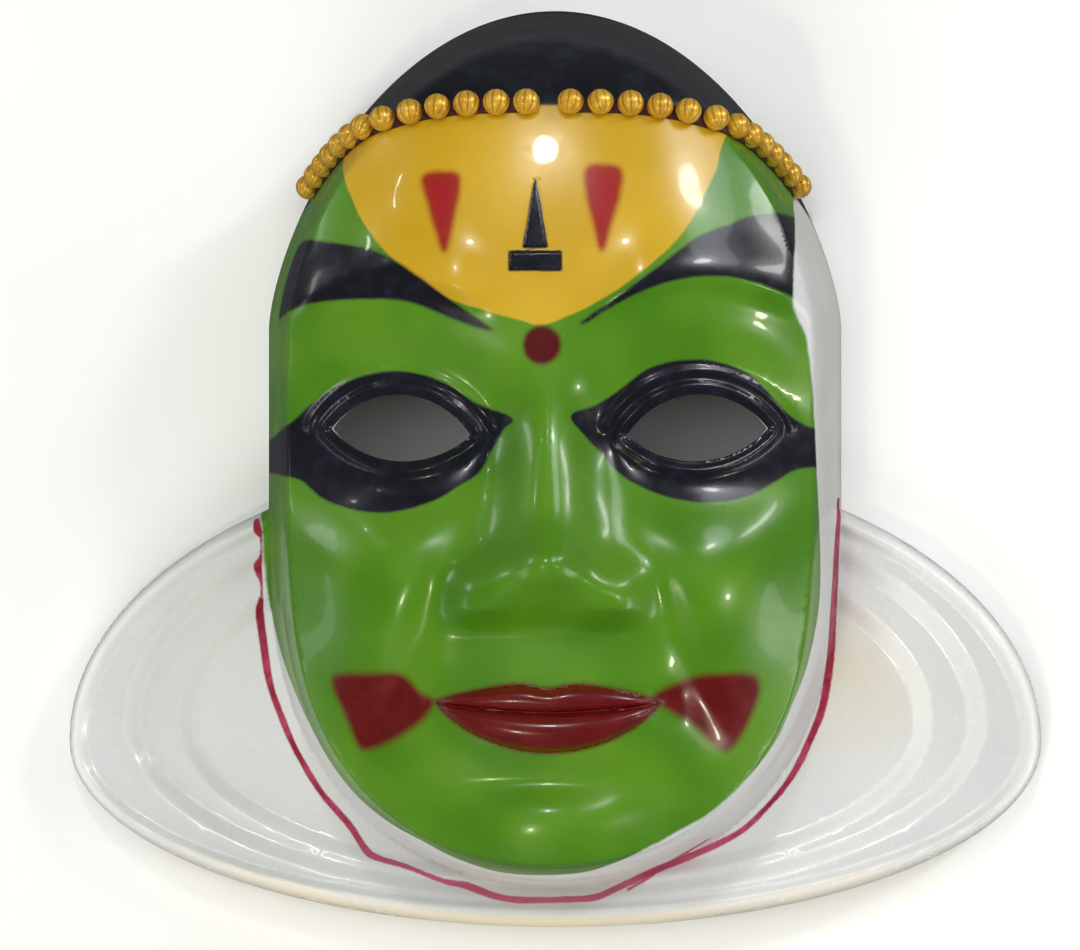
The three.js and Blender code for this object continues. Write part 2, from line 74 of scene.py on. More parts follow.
TRIM_GAP, TRIM_END = 10.4, 60.0
BEAD_DIAMETER, BEAD_PITCH = 6.5, 7.0

# How far the features stand out of the rounded front, or sink into it
BROW_RISE = 3.4
SOCKET_DEPTH, EYEBALL_RISE, LID_RISE, LID_FOLD_RISE = 9.5, 6, 1.4, 1.1
BRIDGE_RISE, NOSE_BALL_RISE, WING_RISE = 17.5, 6, 9
CHEEK_RISE, SMILE_FOLD, MUZZLE_RISE = 6, 2, 4.5
UPPER_LIP_RISE, LOWER_LIP_RISE = 2.6, 4.2
CHIN_RISE, CHIN_HOLLOW = 6, 3.2
MARK_RISE = 0.9

# Ruff: its middle, how high its parts rise, and how wide its steps are at the side and below
RUFF_CENTRE_Y = -69.0
DISH_HEIGHT, RUFF_LIFT, RING_STEP, ROLL_HEIGHT = 7, 9, 2.6, 1.8
RING_WIDTH, RING_WIDTH_BELOW = 6.5, 3.25

# Sizes that only the scene has: the fillet between face and ruff, how far the inside is tucked
# in at the cut edge, the fluted beads and their tape
FILLET = 14
RIM_TUCK = 1.02 * SHEET_THICKNESS
BEAD_TOP, BEAD_RIBS, BEAD_GROOVE = 5.62, 9, 0.07
TAPE_SPACING = 1.4

# Height of the point that sees the whole outline of the sheet, and a distance from it that is
# past the eye holes but inside the outline
MIDDLE_Y = -14.0
EYES_REACH = 62

# Triangles of the sheet: how far they may stand off the form, about the shortest side, and the
# longest sides at the crimson line, at paint edges, on walls, face and ruff
TOLERANCE = 0.045
SHORTEST = 0.72
LINE_SIDE, EDGE_SIDE, WALL_SIDE, FACE_SIDE, RUFF_SIDE = 0.8, 1.3, 1.5, 2.6, 3.6

# How far distances to painted edges are kept, and the height above which all is hair
FAR = 9.0
PAINT_TOP = 100


def smooth(low, high, value):
    """Soft step from 0 at one value to 1 at another, which may be the lower of the two."""
    share = np.clip((value - low) / (high - low), 0, 1)
    return share * share * (3 - 2 * share)


def mix(a, b, share):
    return a + (b - a) * share


def bump(dx, dy, rx, ry):
    return np.exp(-((dx / rx) ** 2) - (dy / ry) ** 2)


def mound(dx, dy, rx, ry, power):
    return np.exp(-(((dx / rx) ** 2 + (dy / ry) ** 2) ** power))


def oval_measure(x, y):
    """How far a point is inside the foot of the head: as a share, and in millimetres."""
    crown, jaw = y > CROWN_CENTRE_Y, y < JAW_CENTRE_Y
    beyond = np.where(crown, y - CROWN_CENTRE_Y, np.where(jaw, JAW_CENTRE_Y - y, 0.0))
    crown_reach, jaw_reach = CROWN_TOP - CROWN_CENTRE_Y, JAW_CENTRE_Y - JAW_FOOT_Y
    reach = np.where(crown, crown_reach, np.where(jaw, jaw_reach, 1.0))
    power = np.where(crown, CROWN_ROUNDNESS, np.where(jaw, JAW_ROUNDNESS, 2.0))
    share = beyond / reach
    left = 1 - (x / HALF_FACE) ** 2 - share**power
    slope = np.hypot(2 * x / HALF_FACE**2, power * share ** (power - 1) / reach)
    return left, left / np.maximum(slope, 0.01)


def head_front(x, y):
    """Rounded front of the head without its features."""
    forehead_y = BROW_Y + 0.28 * THIRD
    half = HALF_FACE * np.sqrt(np.clip(oval_measure(0 * y, y)[0], 0, 1))
    side = np.abs(x) / mix(HALF_FACE, np.maximum(half, 0.35 * HALF_FACE), 0.6)
    above, below = np.maximum(y - forehead_y, 0), np.maximum(forehead_y - y, 0)
    z = FOREHEAD_DEPTH * (1 - 0.4 * side**2.5) - 0.0032 * above**2 - 0.0004 * below**2
    return z - 0.036 * np.maximum(y - HAIRLINE_Y, 0) ** 2


def brow_ridge(x, y):
    along = np.clip((np.abs(x) / HALF_FACE - 0.12) / 0.81, 0, 1)
    arch_y = BROW_Y + THIRD * (0.2 + 0.15 * np.sin(np.pi * along**0.9))
    strength = smooth(0, 0.25, along) * smooth(1, 0.8, along)
    return BROW_RISE * strength * np.exp(-(((y - arch_y) / np.where(y > arch_y, 10, 3.6)) ** 2))


def lid_arc(rise):
    """Radius of a lid's arc and how far its centre lies past the eye's middle line."""
    radius = ((EYE_LENGTH / 2) ** 2 + rise**2) / (2 * rise)
    return radius, radius - rise


UPPER_ARC, LOWER_ARC = lid_arc(EYE_UPPER), lid_arc(EYE_LOWER)


def eye_distance(x, y):
    """Distance to the rim of the nearer eye hole, negative inside the hole."""
    dx, dy = np.abs(x) - EYE_X, y - EYE_Y
    along = dx * math.cos(EYE_TILT) + dy * math.sin(EYE_TILT)
    up = dy * math.cos(EYE_TILT) - dx * math.sin(EYE_TILT)
    from_upper = np.hypot(along, up + UPPER_ARC[1]) - UPPER_ARC[0]
    from_lower = np.hypot(along, up - LOWER_ARC[1]) - LOWER_ARC[0]
    nearest = np.maximum(from_upper, from_lower)
    is_upper = from_upper > from_lower
    radius = np.where(is_upper, UPPER_ARC[0], LOWER_ARC[0])
    offset = np.where(is_upper, UPPER_ARC[1], LOWER_ARC[1])
    lift = np.where(is_upper, up, -up) + offset
    on_arc = radius * lift / np.hypot(along, lift) >= offset
    corner = np.hypot(np.abs(along) - EYE_LENGTH / 2, up)
    return np.where((nearest < 0) | on_arc, nearest, corner)


def eye_relief(x, y):
    dx, dy = np.abs(x) - EYE_X, y - EYE_Y
    away = eye_distance(x, y)
    near = smooth(33, 22, np.hypot(dx, 1.3 * dy))
    lid = LID_RISE * np.exp(-(((away - 2.2) / 1.3) ** 2))
    fold = LID_FOLD_RISE * np.exp(-(((away - 5.6) / 1.4) ** 2)) * smooth(-1, 2, dy)
    socket = mound(dx, dy - 0.5, 29, 19, 1.4) + 0.37 * bump(np.abs(x) - 15, dy + 1, 8, 11)
    eyeball = EYEBALL_RISE * mound(dx, dy, 20, 13, 1.3)
    return eyeball - SOCKET_DEPTH * socket + (lid + fold) * near


def nose_relief(x, y):
    tip_y, start_y, under = NOSE_BASE_Y + 0.22 * THIRD, BROW_Y + 10, NOSE_BASE_Y - 3.5
    along = np.clip((start_y - y) / (start_y - tip_y), 0, 1.3)
    bridge = BRIDGE_RISE * along**1.6 * np.exp(-(np.abs(x / mix(7.5, 11.5, along)) ** 2.2))
    wing_x, wing_y = np.abs(np.abs(x) - 15) / 8.5, np.abs(y - NOSE_BASE_Y - 6.5) / 9
    wing = WING_RISE * np.exp(-(wing_x**2.4) - wing_y**2.4) * smooth(under, under + 8, y)
    ball = NOSE_BALL_RISE * bump(x, y - tip_y, 9.5, 7.5)
    return bridge * smooth(under, tip_y + 5.5, y) + ball + wing


def cheek_relief(x, y):
    start_y = NOSE_BASE_Y + 0.15 * THIRD
    fullness = CHEEK_RISE * mound(np.abs(x) - 0.53 * HALF_FACE, y - NOSE_BASE_Y - 9, 19, 20, 1.2)
    fold_x = (0.36 + 0.16 * (start_y - y) / (start_y - MOUTH_Y)) * HALF_FACE
    strength = smooth(MOUTH_Y - 14, MOUTH_Y + 6, y) * smooth(start_y + 16, start_y - 6, y)
    return fullness - SMILE_FOLD * strength * bump(np.abs(x) - fold_x, 0, 5, 1)


def lip_edges(x):
    """Place across the mouth, height of the line between the lips, and how far each lip reaches."""
    side = np.minimum(np.abs(x) / LIP_HALF, 1)
    line = MOUTH_Y + 2.2 * side**2
    upper = UPPER_LIP * (1 - 0.2 * np.exp(-((x / 4.5) ** 2))) * (1 - side**2)
    return side, line, upper, LOWER_LIP * (1 - side**2) ** 0.8


def lip_relief(x, y):
    side, line_y, upper, lower = lip_edges(x)
    muzzle = MUZZLE_RISE * mound(x, y - MOUTH_Y + 1, 31, 20, 1.3)
    corner = 1.5 * bump(np.abs(x) - LIP_HALF - 1, y - MOUTH_Y - 2.5, 4, 4)
    reach = np.maximum(np.where(y > line_y, upper, lower), 0.01)
    share = np.clip(np.abs(y - line_y) / reach, 0, 1)
    rise = np.where(y > line_y, UPPER_LIP_RISE, LOWER_LIP_RISE)
    swell = rise * (4 * share * (1 - share)) ** 0.6
    return muzzle - corner + swell * np.sqrt(1 - side**2)


def chin_relief(x, y):
    hollow = CHIN_HOLLOW * bump(x, y - MOUTH_Y + 16.5, 20, 4.5)
    return CHIN_RISE * mound(x, y - CHIN_Y - 12.5, 19, 11, 1.2) - hollow


def mark_distance(x, y):
    """How far inside the forehead's mark, a spire over a bar, a point lies."""
    dx, above = np.abs(x - MARK_X), y - BROW_Y - 0.45 * THIRD
    bar = np.minimum(BAR_HALF_WIDTH - dx, BAR_HALF_HEIGHT - np.abs(above + BAR_DROP))
    side = SPIRE_HALF * np.clip(1 - above / SPIRE_HEIGHT, 0, 1) - dx
    return np.maximum(np.minimum(side, np.minimum(above, SPIRE_HEIGHT - above)), bar)


def mark_relief(x, y):
    return MARK_RISE * smooth(-0.45, 0.45, mark_distance(x, y))


def waviness(x, y):
    """Slight unevenness of a thin formed sheet."""
    slow = 0.10 * np.sin(x / 19 + 1.3) * np.sin(y / 23 + 0.4)
    return slow + 0.04 * np.sin(x / 8.1 + y / 10.7) * np.sin(x / 11.3 - y / 7.9)


def head_height(x, y):
    relief = brow_ridge(x, y) + eye_relief(x, y) + nose_relief(x, y) + cheek_relief(x, y)
    relief += lip_relief(x, y) + chin_relief(x, y) + mark_relief(x, y)
    wall = oval_measure(x, y)[1] * WALL_SLOPE
    front = head_front(x, y) + relief
    blend = mix(SHOULDER_BLEND, CROWN_BLEND, smooth(HAIRLINE_Y - CROWN_RISE, CROWN_TOP, y))
    h = np.maximum(blend - np.abs(wall - front), 0) / blend
    return np.minimum(wall, front) - h * h * blend / 4


def inset(ring, side, below):
    """A ring made smaller, by one length at the sides and above and by another below."""
    return ring[0] - side, ring[1] - side, ring[2] - below, ring[3]


# Rings of the ruff: half width, upper and lower reach, and how far the middle is lifted
RUFF_EDGE = (123.5, 72.5, 47.5, 0)
RUFF_CREST = inset(RUFF_EDGE, 3.2, 6)
ROLL_FOOT = inset(RUFF_CREST, 3.4, 1.7)
OUTER_RING, INNER_RING = (109.7, 60, 44.4, 5), (96.5, 51, 40.6, 5)


def ring_radius(ring, angle):
    """Distance from the middle of the ruff to a ring."""
    across, up = np.cos(angle), np.sin(angle)
    half, upper, lower, lift = ring
    reach = np.where(up * np.hypot(half, lift) > lift, upper, lower)
    square = (across / half) ** 2 + (up / reach) ** 2
    slope = lift * up / reach**2
    return (slope + np.sqrt(slope**2 + square * (1 - (lift / reach) ** 2))) / square


def ruff_share(x, y):
    """Distance from the middle of the ruff, as a share of the way to its outer edge."""
    dy = y - RUFF_CENTRE_Y
    return np.hypot(x, dy) / ring_radius(RUFF_EDGE, np.arctan2(dy, x))


def ruff_height(x, y):
    dy = y - RUFF_CENTRE_Y
    angle, radius = np.arctan2(dy, x), np.hypot(x, dy)

    def step_up(low, high):
        return smooth(ring_radius(low, angle), ring_radius(high, angle), radius)

    lift = RUFF_LIFT * np.clip(-dy / RUFF_EDGE[2], 0, 1) ** 1.5
    inner = step_up(inset(INNER_RING, RING_WIDTH, RING_WIDTH_BELOW), INNER_RING)
    outer = step_up(inset(OUTER_RING, RING_WIDTH, RING_WIDTH_BELOW), OUTER_RING)
    roll = ROLL_HEIGHT * step_up(ROLL_FOOT, RUFF_CREST)
    crest = ring_radius(RUFF_CREST, angle)
    over = np.clip((radius - crest) / (ring_radius(RUFF_EDGE, angle) - crest), 0, 1)
    return (DISH_HEIGHT + lift + RING_STEP * (inner + outer) + roll) * np.sqrt(1 - over**2)


def surface(x, y):
    """Height of the outside of the sheet, with a round fillet between face and ruff."""
    head, ruff = head_height(x, y), ruff_height(x, y)
    lower = np.maximum(np.minimum(head, ruff), 0)
    blend = FILLET * np.clip(lower / DISH_HEIGHT, 0, 1) + 1e-6
    h = np.maximum(blend - np.abs(head - ruff), 0) / blend
    top = np.maximum(head, ruff)
    calm = np.clip(top / 8, 0, 1)
    return np.maximum(top + h * h * blend / 4 + waviness(x, y) * calm, 0)


def hairline(x):
    return HAIRLINE_Y - HAIRLINE_FALL * np.abs(x / TRIM_END) ** HAIRLINE_POWER


def outline_radius(angle, rounds=40):
    """Distance from the middle point to the outline of the sheet."""
    near, far = np.zeros_like(angle), np.full_like(angle, 170.0)
    for _ in range(rounds):
        radius = (near + far) / 2
        x, y = radius * np.cos(angle), MIDDLE_Y + radius * np.sin(angle)
        inside = (oval_measure(x, y)[0] > 0) | (ruff_share(x, y) < 1)
        near, far = np.where(inside, radius, near), np.where(inside, far, radius)
    return near


def even_sheet(rings=26):
    """Round sheet in which each ring has six more points than the one inside it."""
    count = 6 * rings
    angles = 2 * np.pi * np.arange(count) / count
    # The outline has a notch on each side, where head and ruff meet, and a point goes into each
    fine = np.linspace(-0.3, 0.5, 4000)
    bend = np.diff(outline_radius(fine), 2)
    notch = fine[np.argmax(bend) + 1]
    for side in (notch, np.pi - notch):
        nearest = np.argmin(np.abs((angles - side + np.pi) % (2 * np.pi) - np.pi))
        angles[nearest] = side % (2 * np.pi)
    points, spin, tris = [(0.0, MIDDLE_Y)], [0.0], []

    def at(ring, i):
        return 0 if ring == 0 else 1 + 3 * ring * (ring - 1) + i % (6 * ring)

    for ring in range(1, rings + 1):
        turn = angles if ring == rings else 2 * np.pi * np.arange(6 * ring) / (6 * ring)
        reach = outline_radius(turn) * ring / rings
        points += list(zip(reach * np.cos(turn), MIDDLE_Y + reach * np.sin(turn)))
        spin += list(turn)
        for sixth in range(6):
            for i in range(ring):
                outer, inner = sixth * ring + i, sixth * (ring - 1) + i
                tris.append((at(ring - 1, inner), at(ring, outer), at(ring, outer + 1)))
                if i < ring - 1:
                    tris.append((at(ring - 1, inner), at(ring, outer + 1), at(ring - 1, inner + 1)))
    rim = np.zeros(len(points), bool)
    rim[-count:] = True
    return np.array(points), np.array(spin), np.array(tris), rim


# Places in a triangle where its distance to the form is tried
SAMPLES = np.array([(1, 1, 0), (0, 1, 1), (1, 0, 1), (1, 1, 1), (4, 1, 1), (1, 4, 1), (1, 1, 4)], float)
SAMPLES /= SAMPLES.sum(1, keepdims=True)


def sheet_error(corners):
    """How far the surface stands from flat triangles, square to them."""
    level = surface(corners[..., 0], corners[..., 1])
    spots = np.einsum("sk,nkd->nsd", SAMPLES, corners)
    gap = np.abs(surface(spots[..., 0], spots[..., 1]) - level @ SAMPLES.T).max(1)
    b, c = corners[:, 1] - corners[:, 0], corners[:, 2] - corners[:, 0]
    rise_b, rise_c = level[:, 1] - level[:, 0], level[:, 2] - level[:, 0]
    area = b[:, 0] * c[:, 1] - b[:, 1] * c[:, 0]
    slope_x = (rise_b * c[:, 1] - rise_c * b[:, 1]) / area
    slope_y = (rise_c * b[:, 0] - rise_b * c[:, 0]) / area
    return gap / np.sqrt(slope_x**2 + slope_y**2 + 1)


def wants_cut(corners, longest):
    """Triangles that are still too long for the paint edges or too flat for the form."""
    middle = corners.mean(1)
    foot = oval_measure(middle[:, 0], middle[:, 1])[1]
    hidden = eye_distance(corners[..., 0], corners[..., 1]).max(1) < -1.5
    at_wall = (foot > -1) & (foot < 11)
    allowed = np.where(at_wall, WALL_SIDE, np.where(foot > 0, FACE_SIDE, RUFF_SIDE))
    unsure = (longest > LINE_SIDE) & (longest <= allowed) & ~hidden
    unsure &= (foot > -FAR) & (middle[:, 1] < PAINT_TOP)
    fields = paint_distances(middle[unsure, 0], middle[unsure, 1])
    edge_gap = np.min(np.abs(list(fields.values())), axis=0)
    fine = np.where(np.abs(fields["line"]) < 1.4, LINE_SIDE, EDGE_SIDE)
    allowed[unsure] = np.where(edge_gap < 0.7 * longest[unsure], fine, allowed[unsure])
    wanted = (longest > allowed) & ~hidden
    check = ~wanted & ~hidden & (longest > 1.4 * SHORTEST)
    wanted[check] = sheet_error(corners[check]) > TOLERANCE
    return wanted


def refine(points, spin, tris, rim):
    """Halves the longest edges of the triangles until none wants to be cut."""
    settled = np.zeros(len(tris), bool)
    while True:
        corners = points[tris]
        lengths = np.linalg.norm(corners - np.roll(corners, -1, axis=1), axis=2)
        first = lengths.argmax(1)
        tris = np.take_along_axis(tris, (first[:, None] + np.arange(3)) % 3, axis=1)
        wanted = np.zeros(len(tris), bool)
        wanted[~settled] = wants_cut(points[tris[~settled]], lengths.max(1)[~settled])
        if not wanted.any():
            return points, tris
        ends = np.stack([tris, np.roll(tris, -1, axis=1)], axis=2)
        keys = ends.min(2) * len(points) + ends.max(2)
        cut = np.unique(keys[wanted, 0])
        # A triangle that a neighbour's cut reaches is cut along its own longest edge as well
        while True:
            also = np.isin(keys[:, 1:], cut).any(1)
            grown = np.union1d(cut, keys[also, 0])
            if len(grown) == len(cut):
                break
            cut = grown
        # New points lie in the middle of the cut edges, and on the rim they move to the outline
        a, b = np.divmod(cut, len(points))
        middles, on_rim = (points[a] + points[b]) / 2, rim[a] & rim[b]
        sweep = spin[b] - spin[a]
        between = spin[a] + np.arctan2(np.sin(sweep), np.cos(sweep)) / 2
        turn = between[on_rim]
        reach = outline_radius(turn)
        middles[on_rim] = np.column_stack([reach * np.cos(turn), MIDDLE_Y + reach * np.sin(turn)])
        hit, new = np.isin(keys, cut), len(points) + np.searchsorted(cut, keys)
        points = np.vstack([points, middles])
        spin = np.concatenate([spin, between])
        rim = np.concatenate([rim, on_rim])
        # Each cut triangle falls into two halves, and a half whose outer side is cut into two more
        split, right, left = hit.T
        (a, b, c), (ab, bc, ca) = tris.T, new.T
        parts, done = [tris[~split]], [(settled | ~wanted)[~split]]
        for chosen, columns in (
            (split & ~right, (ab, b, c)), (split & right, (ab, b, bc)), (split & right, (ab, bc, c)),
            (split & ~left, (a, ab, c)), (split & left, (a, ab, ca)), (split & left, (ca, ab, c)),
        ):
            parts.append(np.stack(columns, axis=1)[chosen])
            done.append(np.zeros(chosen.sum(), bool))
        tris, settled = np.vstack(parts), np.concatenate(done)


def slopes(measure, x, y, step):
    """How fast a measure grows across and up."""
    across, up = measure(x + step, y) - measure(x - step, y), measure(x, y + step) - measure(x, y - step)
    return across / (2 * step), up / (2 * step)


def cut_eye_holes(points, tris):
    """Clips the sheet along the rims of the two eye holes."""
    away = eye_distance(points[:, 0], points[:, 1])
    lengths = np.linalg.norm(points[tris] - points[np.roll(tris, -1, axis=1)], axis=2)
    size = np.full(len(points), np.inf)
    np.minimum.at(size, tris.ravel(), np.repeat(lengths.min(1), 3))
    near = np.abs(away) < 0.3 * size
    slope_x, slope_y = slopes(eye_distance, points[near, 0], points[near, 1], 0.01)
    points = points.copy()
    reach = away[near] / np.maximum(slope_x**2 + slope_y**2, 0.2)
    points[near] -= reach[:, None] * np.stack([slope_x, slope_y], 1)
    away[near] = 0
    sign = np.sign(away)[tris]
    keep = (sign >= 0).all(1) & (sign > 0).any(1)
    mixed = (sign < 0).any(1) & (sign > 0).any(1)
    result, extra, made = tris[keep].tolist(), [], {}

    def crossing(a, b):
        key = (min(a, b), max(a, b))
        if key not in made:
            share = away[a] / (away[a] - away[b])
            made[key] = len(points) + len(extra)
            extra.append(points[a] + (points[b] - points[a]) * share)
        return made[key]

    for tri in tris[mixed].tolist():
        ring = []
        for a, b in zip(tri, tri[1:] + tri[:1]):
            if away[a] >= 0:
                ring.append(a)
            if away[a] * away[b] < 0:
                ring.append(crossing(a, b))
        result += [(ring[0], b, c) for b, c in zip(ring[1:], ring[2:])]
    points = np.vstack([points, extra])
    tris = np.array(result)
    used, inverse = np.unique(tris, return_inverse=True)
    return points[used], inverse.reshape(tris.shape)


def edges_of(tris):
    return np.concatenate([tris[:, [0, 1]], tris[:, [1, 2]], tris[:, [2, 0]]])


def boundary_edges(tris):
    """Edges that only one triangle has."""
    ends = edges_of(tris)
    key = ends.min(1) * (tris.max() + 1) + ends.max(1)
    _, first, count = np.unique(key, return_index=True, return_counts=True)
    return ends[first[count == 1]]


def vertex_normals(points, tris):
    face = np.cross(points[tris[:, 1]] - points[tris[:, 0]], points[tris[:, 2]] - points[tris[:, 0]])
    total = np.zeros_like(points)
    for k in range(3):
        np.add.at(total, tris[:, k], face)
    return total / np.linalg.norm(total, axis=1, keepdims=True)


def sheet_normals(x, y):
    """Directions square to the outside of the sheet, or zero where the mesh's own normals serve."""
    slope_x, slope_y = slopes(surface, x, y, 0.1)
    normals = np.column_stack([-slope_x, -slope_y, np.ones_like(x)])
    normals /= np.linalg.norm(normals, axis=1, keepdims=True)
    in_roll = (ruff_share(x, y) > 0.95) & (oval_measure(x, y)[1] < 1)
    normals[in_roll | (surface(x, y) < 1.5)] = 0
    return normals


def surface_distance(points, tris, values):
    """Turns distances seen from above into distances along the surface."""
    a, b, c = (points[tris[:, k]] for k in range(3))
    square = np.cross(b - a, c - a)
    twice = np.linalg.norm(square, axis=1, keepdims=True)
    rise_b, rise_c = ((values[tris[:, k]] - values[tris[:, 0]])[:, None] for k in (1, 2))
    way = (np.cross(c - a, square) * -rise_b + np.cross(b - a, square) * rise_c) / twice**2
    steep = np.linalg.norm(way, axis=1)
    total, weight = np.zeros(len(points)), np.full(len(points), 1e-9)
    for k in range(3):
        np.add.at(total, tris[:, k], steep * twice[:, 0])
        np.add.at(weight, tris[:, k], twice[:, 0])
    return values / np.clip(total / weight, 0.12, 1.0)


def sunk_sheet(points, tris, edges, rounds=12):
    """Inside of the sheet: the outside moved in by its thickness, with tight relief eased."""
    move = -SHEET_THICKNESS * vertex_normals(points, tris)
    rim = edges[points[edges[:, 0], 2] < 0.01]
    along = np.zeros((len(points), 2))
    way = (points[rim[:, 1]] - points[rim[:, 0]])[:, :2]
    for k in (0, 1):
        np.add.at(along, rim[:, k], way)
    ends = np.unique(rim)
    along = along[ends] / np.linalg.norm(along[ends], axis=1, keepdims=True)
    held = RIM_TUCK * np.column_stack([-along[:, 1], along[:, 0], np.zeros(len(ends))])
    move[ends] = held
    pairs = edges_of(tris)
    for _ in range(rounds):
        total, count = move.copy(), np.ones(len(points))
        for a, b in ((0, 1), (1, 0)):
            np.add.at(total, pairs[:, a], move[pairs[:, b]])
            np.add.at(count, pairs[:, a], 1)
        move = total / count[:, None]
        move[ends] = held
    inside = points + move
    inside[:, 2] = np.maximum(inside[:, 2], 0)
    return inside


def smooth_line(before, here, after, beyond, steps):
    """Points of a smooth line through control points, from each and its three neighbours."""
    near_here, near_after = here + (after - before) / 6, after - (beyond - here) / 6
    line = []
    for t in np.arange(steps) / steps:
        s = 1 - t
        line.append(s**3 * here + 3 * s**2 * t * near_here + 3 * s * t**2 * near_after + t**3 * after)
    return np.stack(line, axis=1).reshape(-1, here.shape[1])


def closed_curve(control):
    """Smooth closed line through control points."""
    p = np.array(control, float)
    return smooth_line(np.roll(p, 1, 0), p, np.roll(p, -1, 0), np.roll(p, -2, 0), 8)


def open_curve(control):
    """Smooth open line through control points, whose third number is half the line's width."""
    p = np.array(control, float)
    p = np.vstack([2 * p[0] - p[1], p, 2 * p[-1] - p[-2]])
    return np.vstack([smooth_line(p[:-3], p[1:-2], p[2:-1], p[3:], 6), p[-2]])


def inside_distance(x, y, loop):
    """Distance to a closed line, positive inside it."""
    result = np.full(len(x), -FAR)
    low, high = loop.min(0) - FAR, loop.max(0) + FAR
    near = np.flatnonzero((x > low[0]) & (x < high[0]) & (y > low[1]) & (y < high[1]))
    (ax, ay), (bx, by) = loop.T, np.roll(loop, -1, 0).T
    ex, ey = bx - ax, by - ay
    for chunk in np.array_split(near, max(1, len(near) // 4000)):
        px, py = x[chunk, None], y[chunk, None]
        share = np.clip(((px - ax) * ex + (py - ay) * ey) / (ex * ex + ey * ey), 0, 1)
        gap = np.hypot(px - ax - share * ex, py - ay - share * ey).min(1)
        crossing = ((ay > py) != (by > py)) & (px < (py - ay) * ex / np.where(ey == 0, 1e-9, ey) + ax)
        result[chunk] = np.where(crossing.sum(1) % 2 == 1, gap, -gap)
    return result


def stroke_distance(x, y, strokes):
    """How far inside a brushed line a point is, for lines of (x, y, half width)."""
    result = np.full(len(x), -FAR)
    for stroke in strokes:
        s = np.array(stroke, float)
        for a, b in zip(s[:-1], s[1:]):
            e = b[:2] - a[:2]
            share = np.clip(((x - a[0]) * e[0] + (y - a[1]) * e[1]) / (e @ e), 0, 1)
            gap = np.hypot(x - a[0] - share * e[0], y - a[1] - share * e[1])
            result = np.maximum(result, mix(a[2], b[2], share) - gap)
    return result


# Outlines of the painted fields, in millimetres
GREEN_FIELD = [
    (-72, 82), (-76, 56), (-78, 35), (-78, 15), (-77, -5), (-73.8, -13), (-73.2, -24), (-72.1, -33.5),
    (-70.2, -42), (-67.4, -50), (-63.5, -57.5), (-59.2, -64.5), (-54.3, -73), (-47.8, -81), (-39.6, -86.6),
    (-31, -90.2), (-23.6, -94.8), (-17.4, -98), (-11.1, -99.8), (-1.1, -99.5), (8, -98.3), (14.5, -95.4),
    (21.8, -92), (29, -88.4), (38.4, -83.4), (45, -77.8), (50.8, -71.7), (55.6, -65), (59, -57),
    (61.8, -50.4), (64.4, -41), (65.8, -32), (65.9, -22.4), (65.2, -8), (64.6, 4), (63.8, 18), (62, 31),
    (58.6, 41), (60, 66), (60, 96), (-60, 100),
]
YELLOW_FIELD = [
    (-51.5, 92), (-50.8, 76), (-48.4, 66.8), (-43.3, 56.9), (-35.2, 48), (-26.7, 41.4),
    (-15.4, 37.4), (-6, 34.7), (-1.4, 33.8), (5.2, 36.1), (13.7, 40.4), (24, 47.8), (32.5, 56.5),
    (38.2, 67.2), (40.9, 75), (41.4, 92), (0, 96),
]
DROPS = [
    [
        (-30.1, 69.4), (-26, 70.6), (-21.4, 69.6), (-21.5, 64.1),
        (-23.1, 56.4), (-24.6, 51.2), (-26.8, 56.5), (-29.1, 64.3),
    ],
    [
        (9, 71.1), (13.2, 72), (17.3, 70.8), (17, 65),
        (15.1, 58.3), (12.8, 51.4), (10.7, 58.2), (9.2, 64.9),
    ],
]
BROWS = [
    [
        (-65.2, 47.5), (-61.6, 54.8), (-53.1, 54.3), (-43.1, 52.2), (-35.2, 48.5), (-26.7, 42.4),
        (-19.2, 37.1), (-13, 32.6), (-18.3, 33.7), (-25.8, 36.7), (-34.4, 39.7), (-43.2, 40.3),
        (-52.9, 40), (-61.1, 38.6), (-67, 36.6), (-67, 40),
    ],
    [
        (7.2, 34), (13.7, 38.7), (19.2, 42.4), (27.8, 48.9), (35.3, 54.8), (42.8, 58), (49, 60.5),
        (60, 61.5), (74, 60), (74, 38), (64, 39), (55.3, 42.2), (49.5, 44.1), (41.8, 45.4),
        (32.4, 44.8), (23, 42), (13.7, 37.2), (9.4, 34.4),
    ],
]
EYE_PAINT = [
    [
        (-8.6, 11.8), (-17.6, 15.6), (-23.2, 19.4), (-30.8, 22.4), (-38.6, 23), (-46.4, 21.6),
        (-53.4, 18.6), (-58.5, 14.8), (-63.9, 10.6), (-71, 7.5), (-80, 6), (-80, -1),
        (-71, -1.4), (-61, -3), (-55.3, -7.3), (-48.2, -9.9), (-40.4, -10.8), (-33.6, -9.9),
        (-26.9, -7.8), (-21.4, -4.4), (-16.6, -1.2), (-13.8, 3.6), (-10.9, 8.8),
    ],
    [
        (5.4, 12.4), (11.8, 15.1), (17.5, 19), (23.1, 23.2), (29.7, 25.4), (37.3, 25.8),
        (44.9, 24), (50.7, 20.3), (54.6, 16), (59.5, 11.6), (66, 9.2), (80, 8.6), (80, -0.4),
        (66, 0), (59.5, -0.6), (54.6, -3.4), (47.8, -6.9), (38.2, -8.4), (28.8, -7.2),
        (21.2, -4.2), (15.6, -0.3), (13.2, 2.9), (8.6, 7.6),
    ],
]
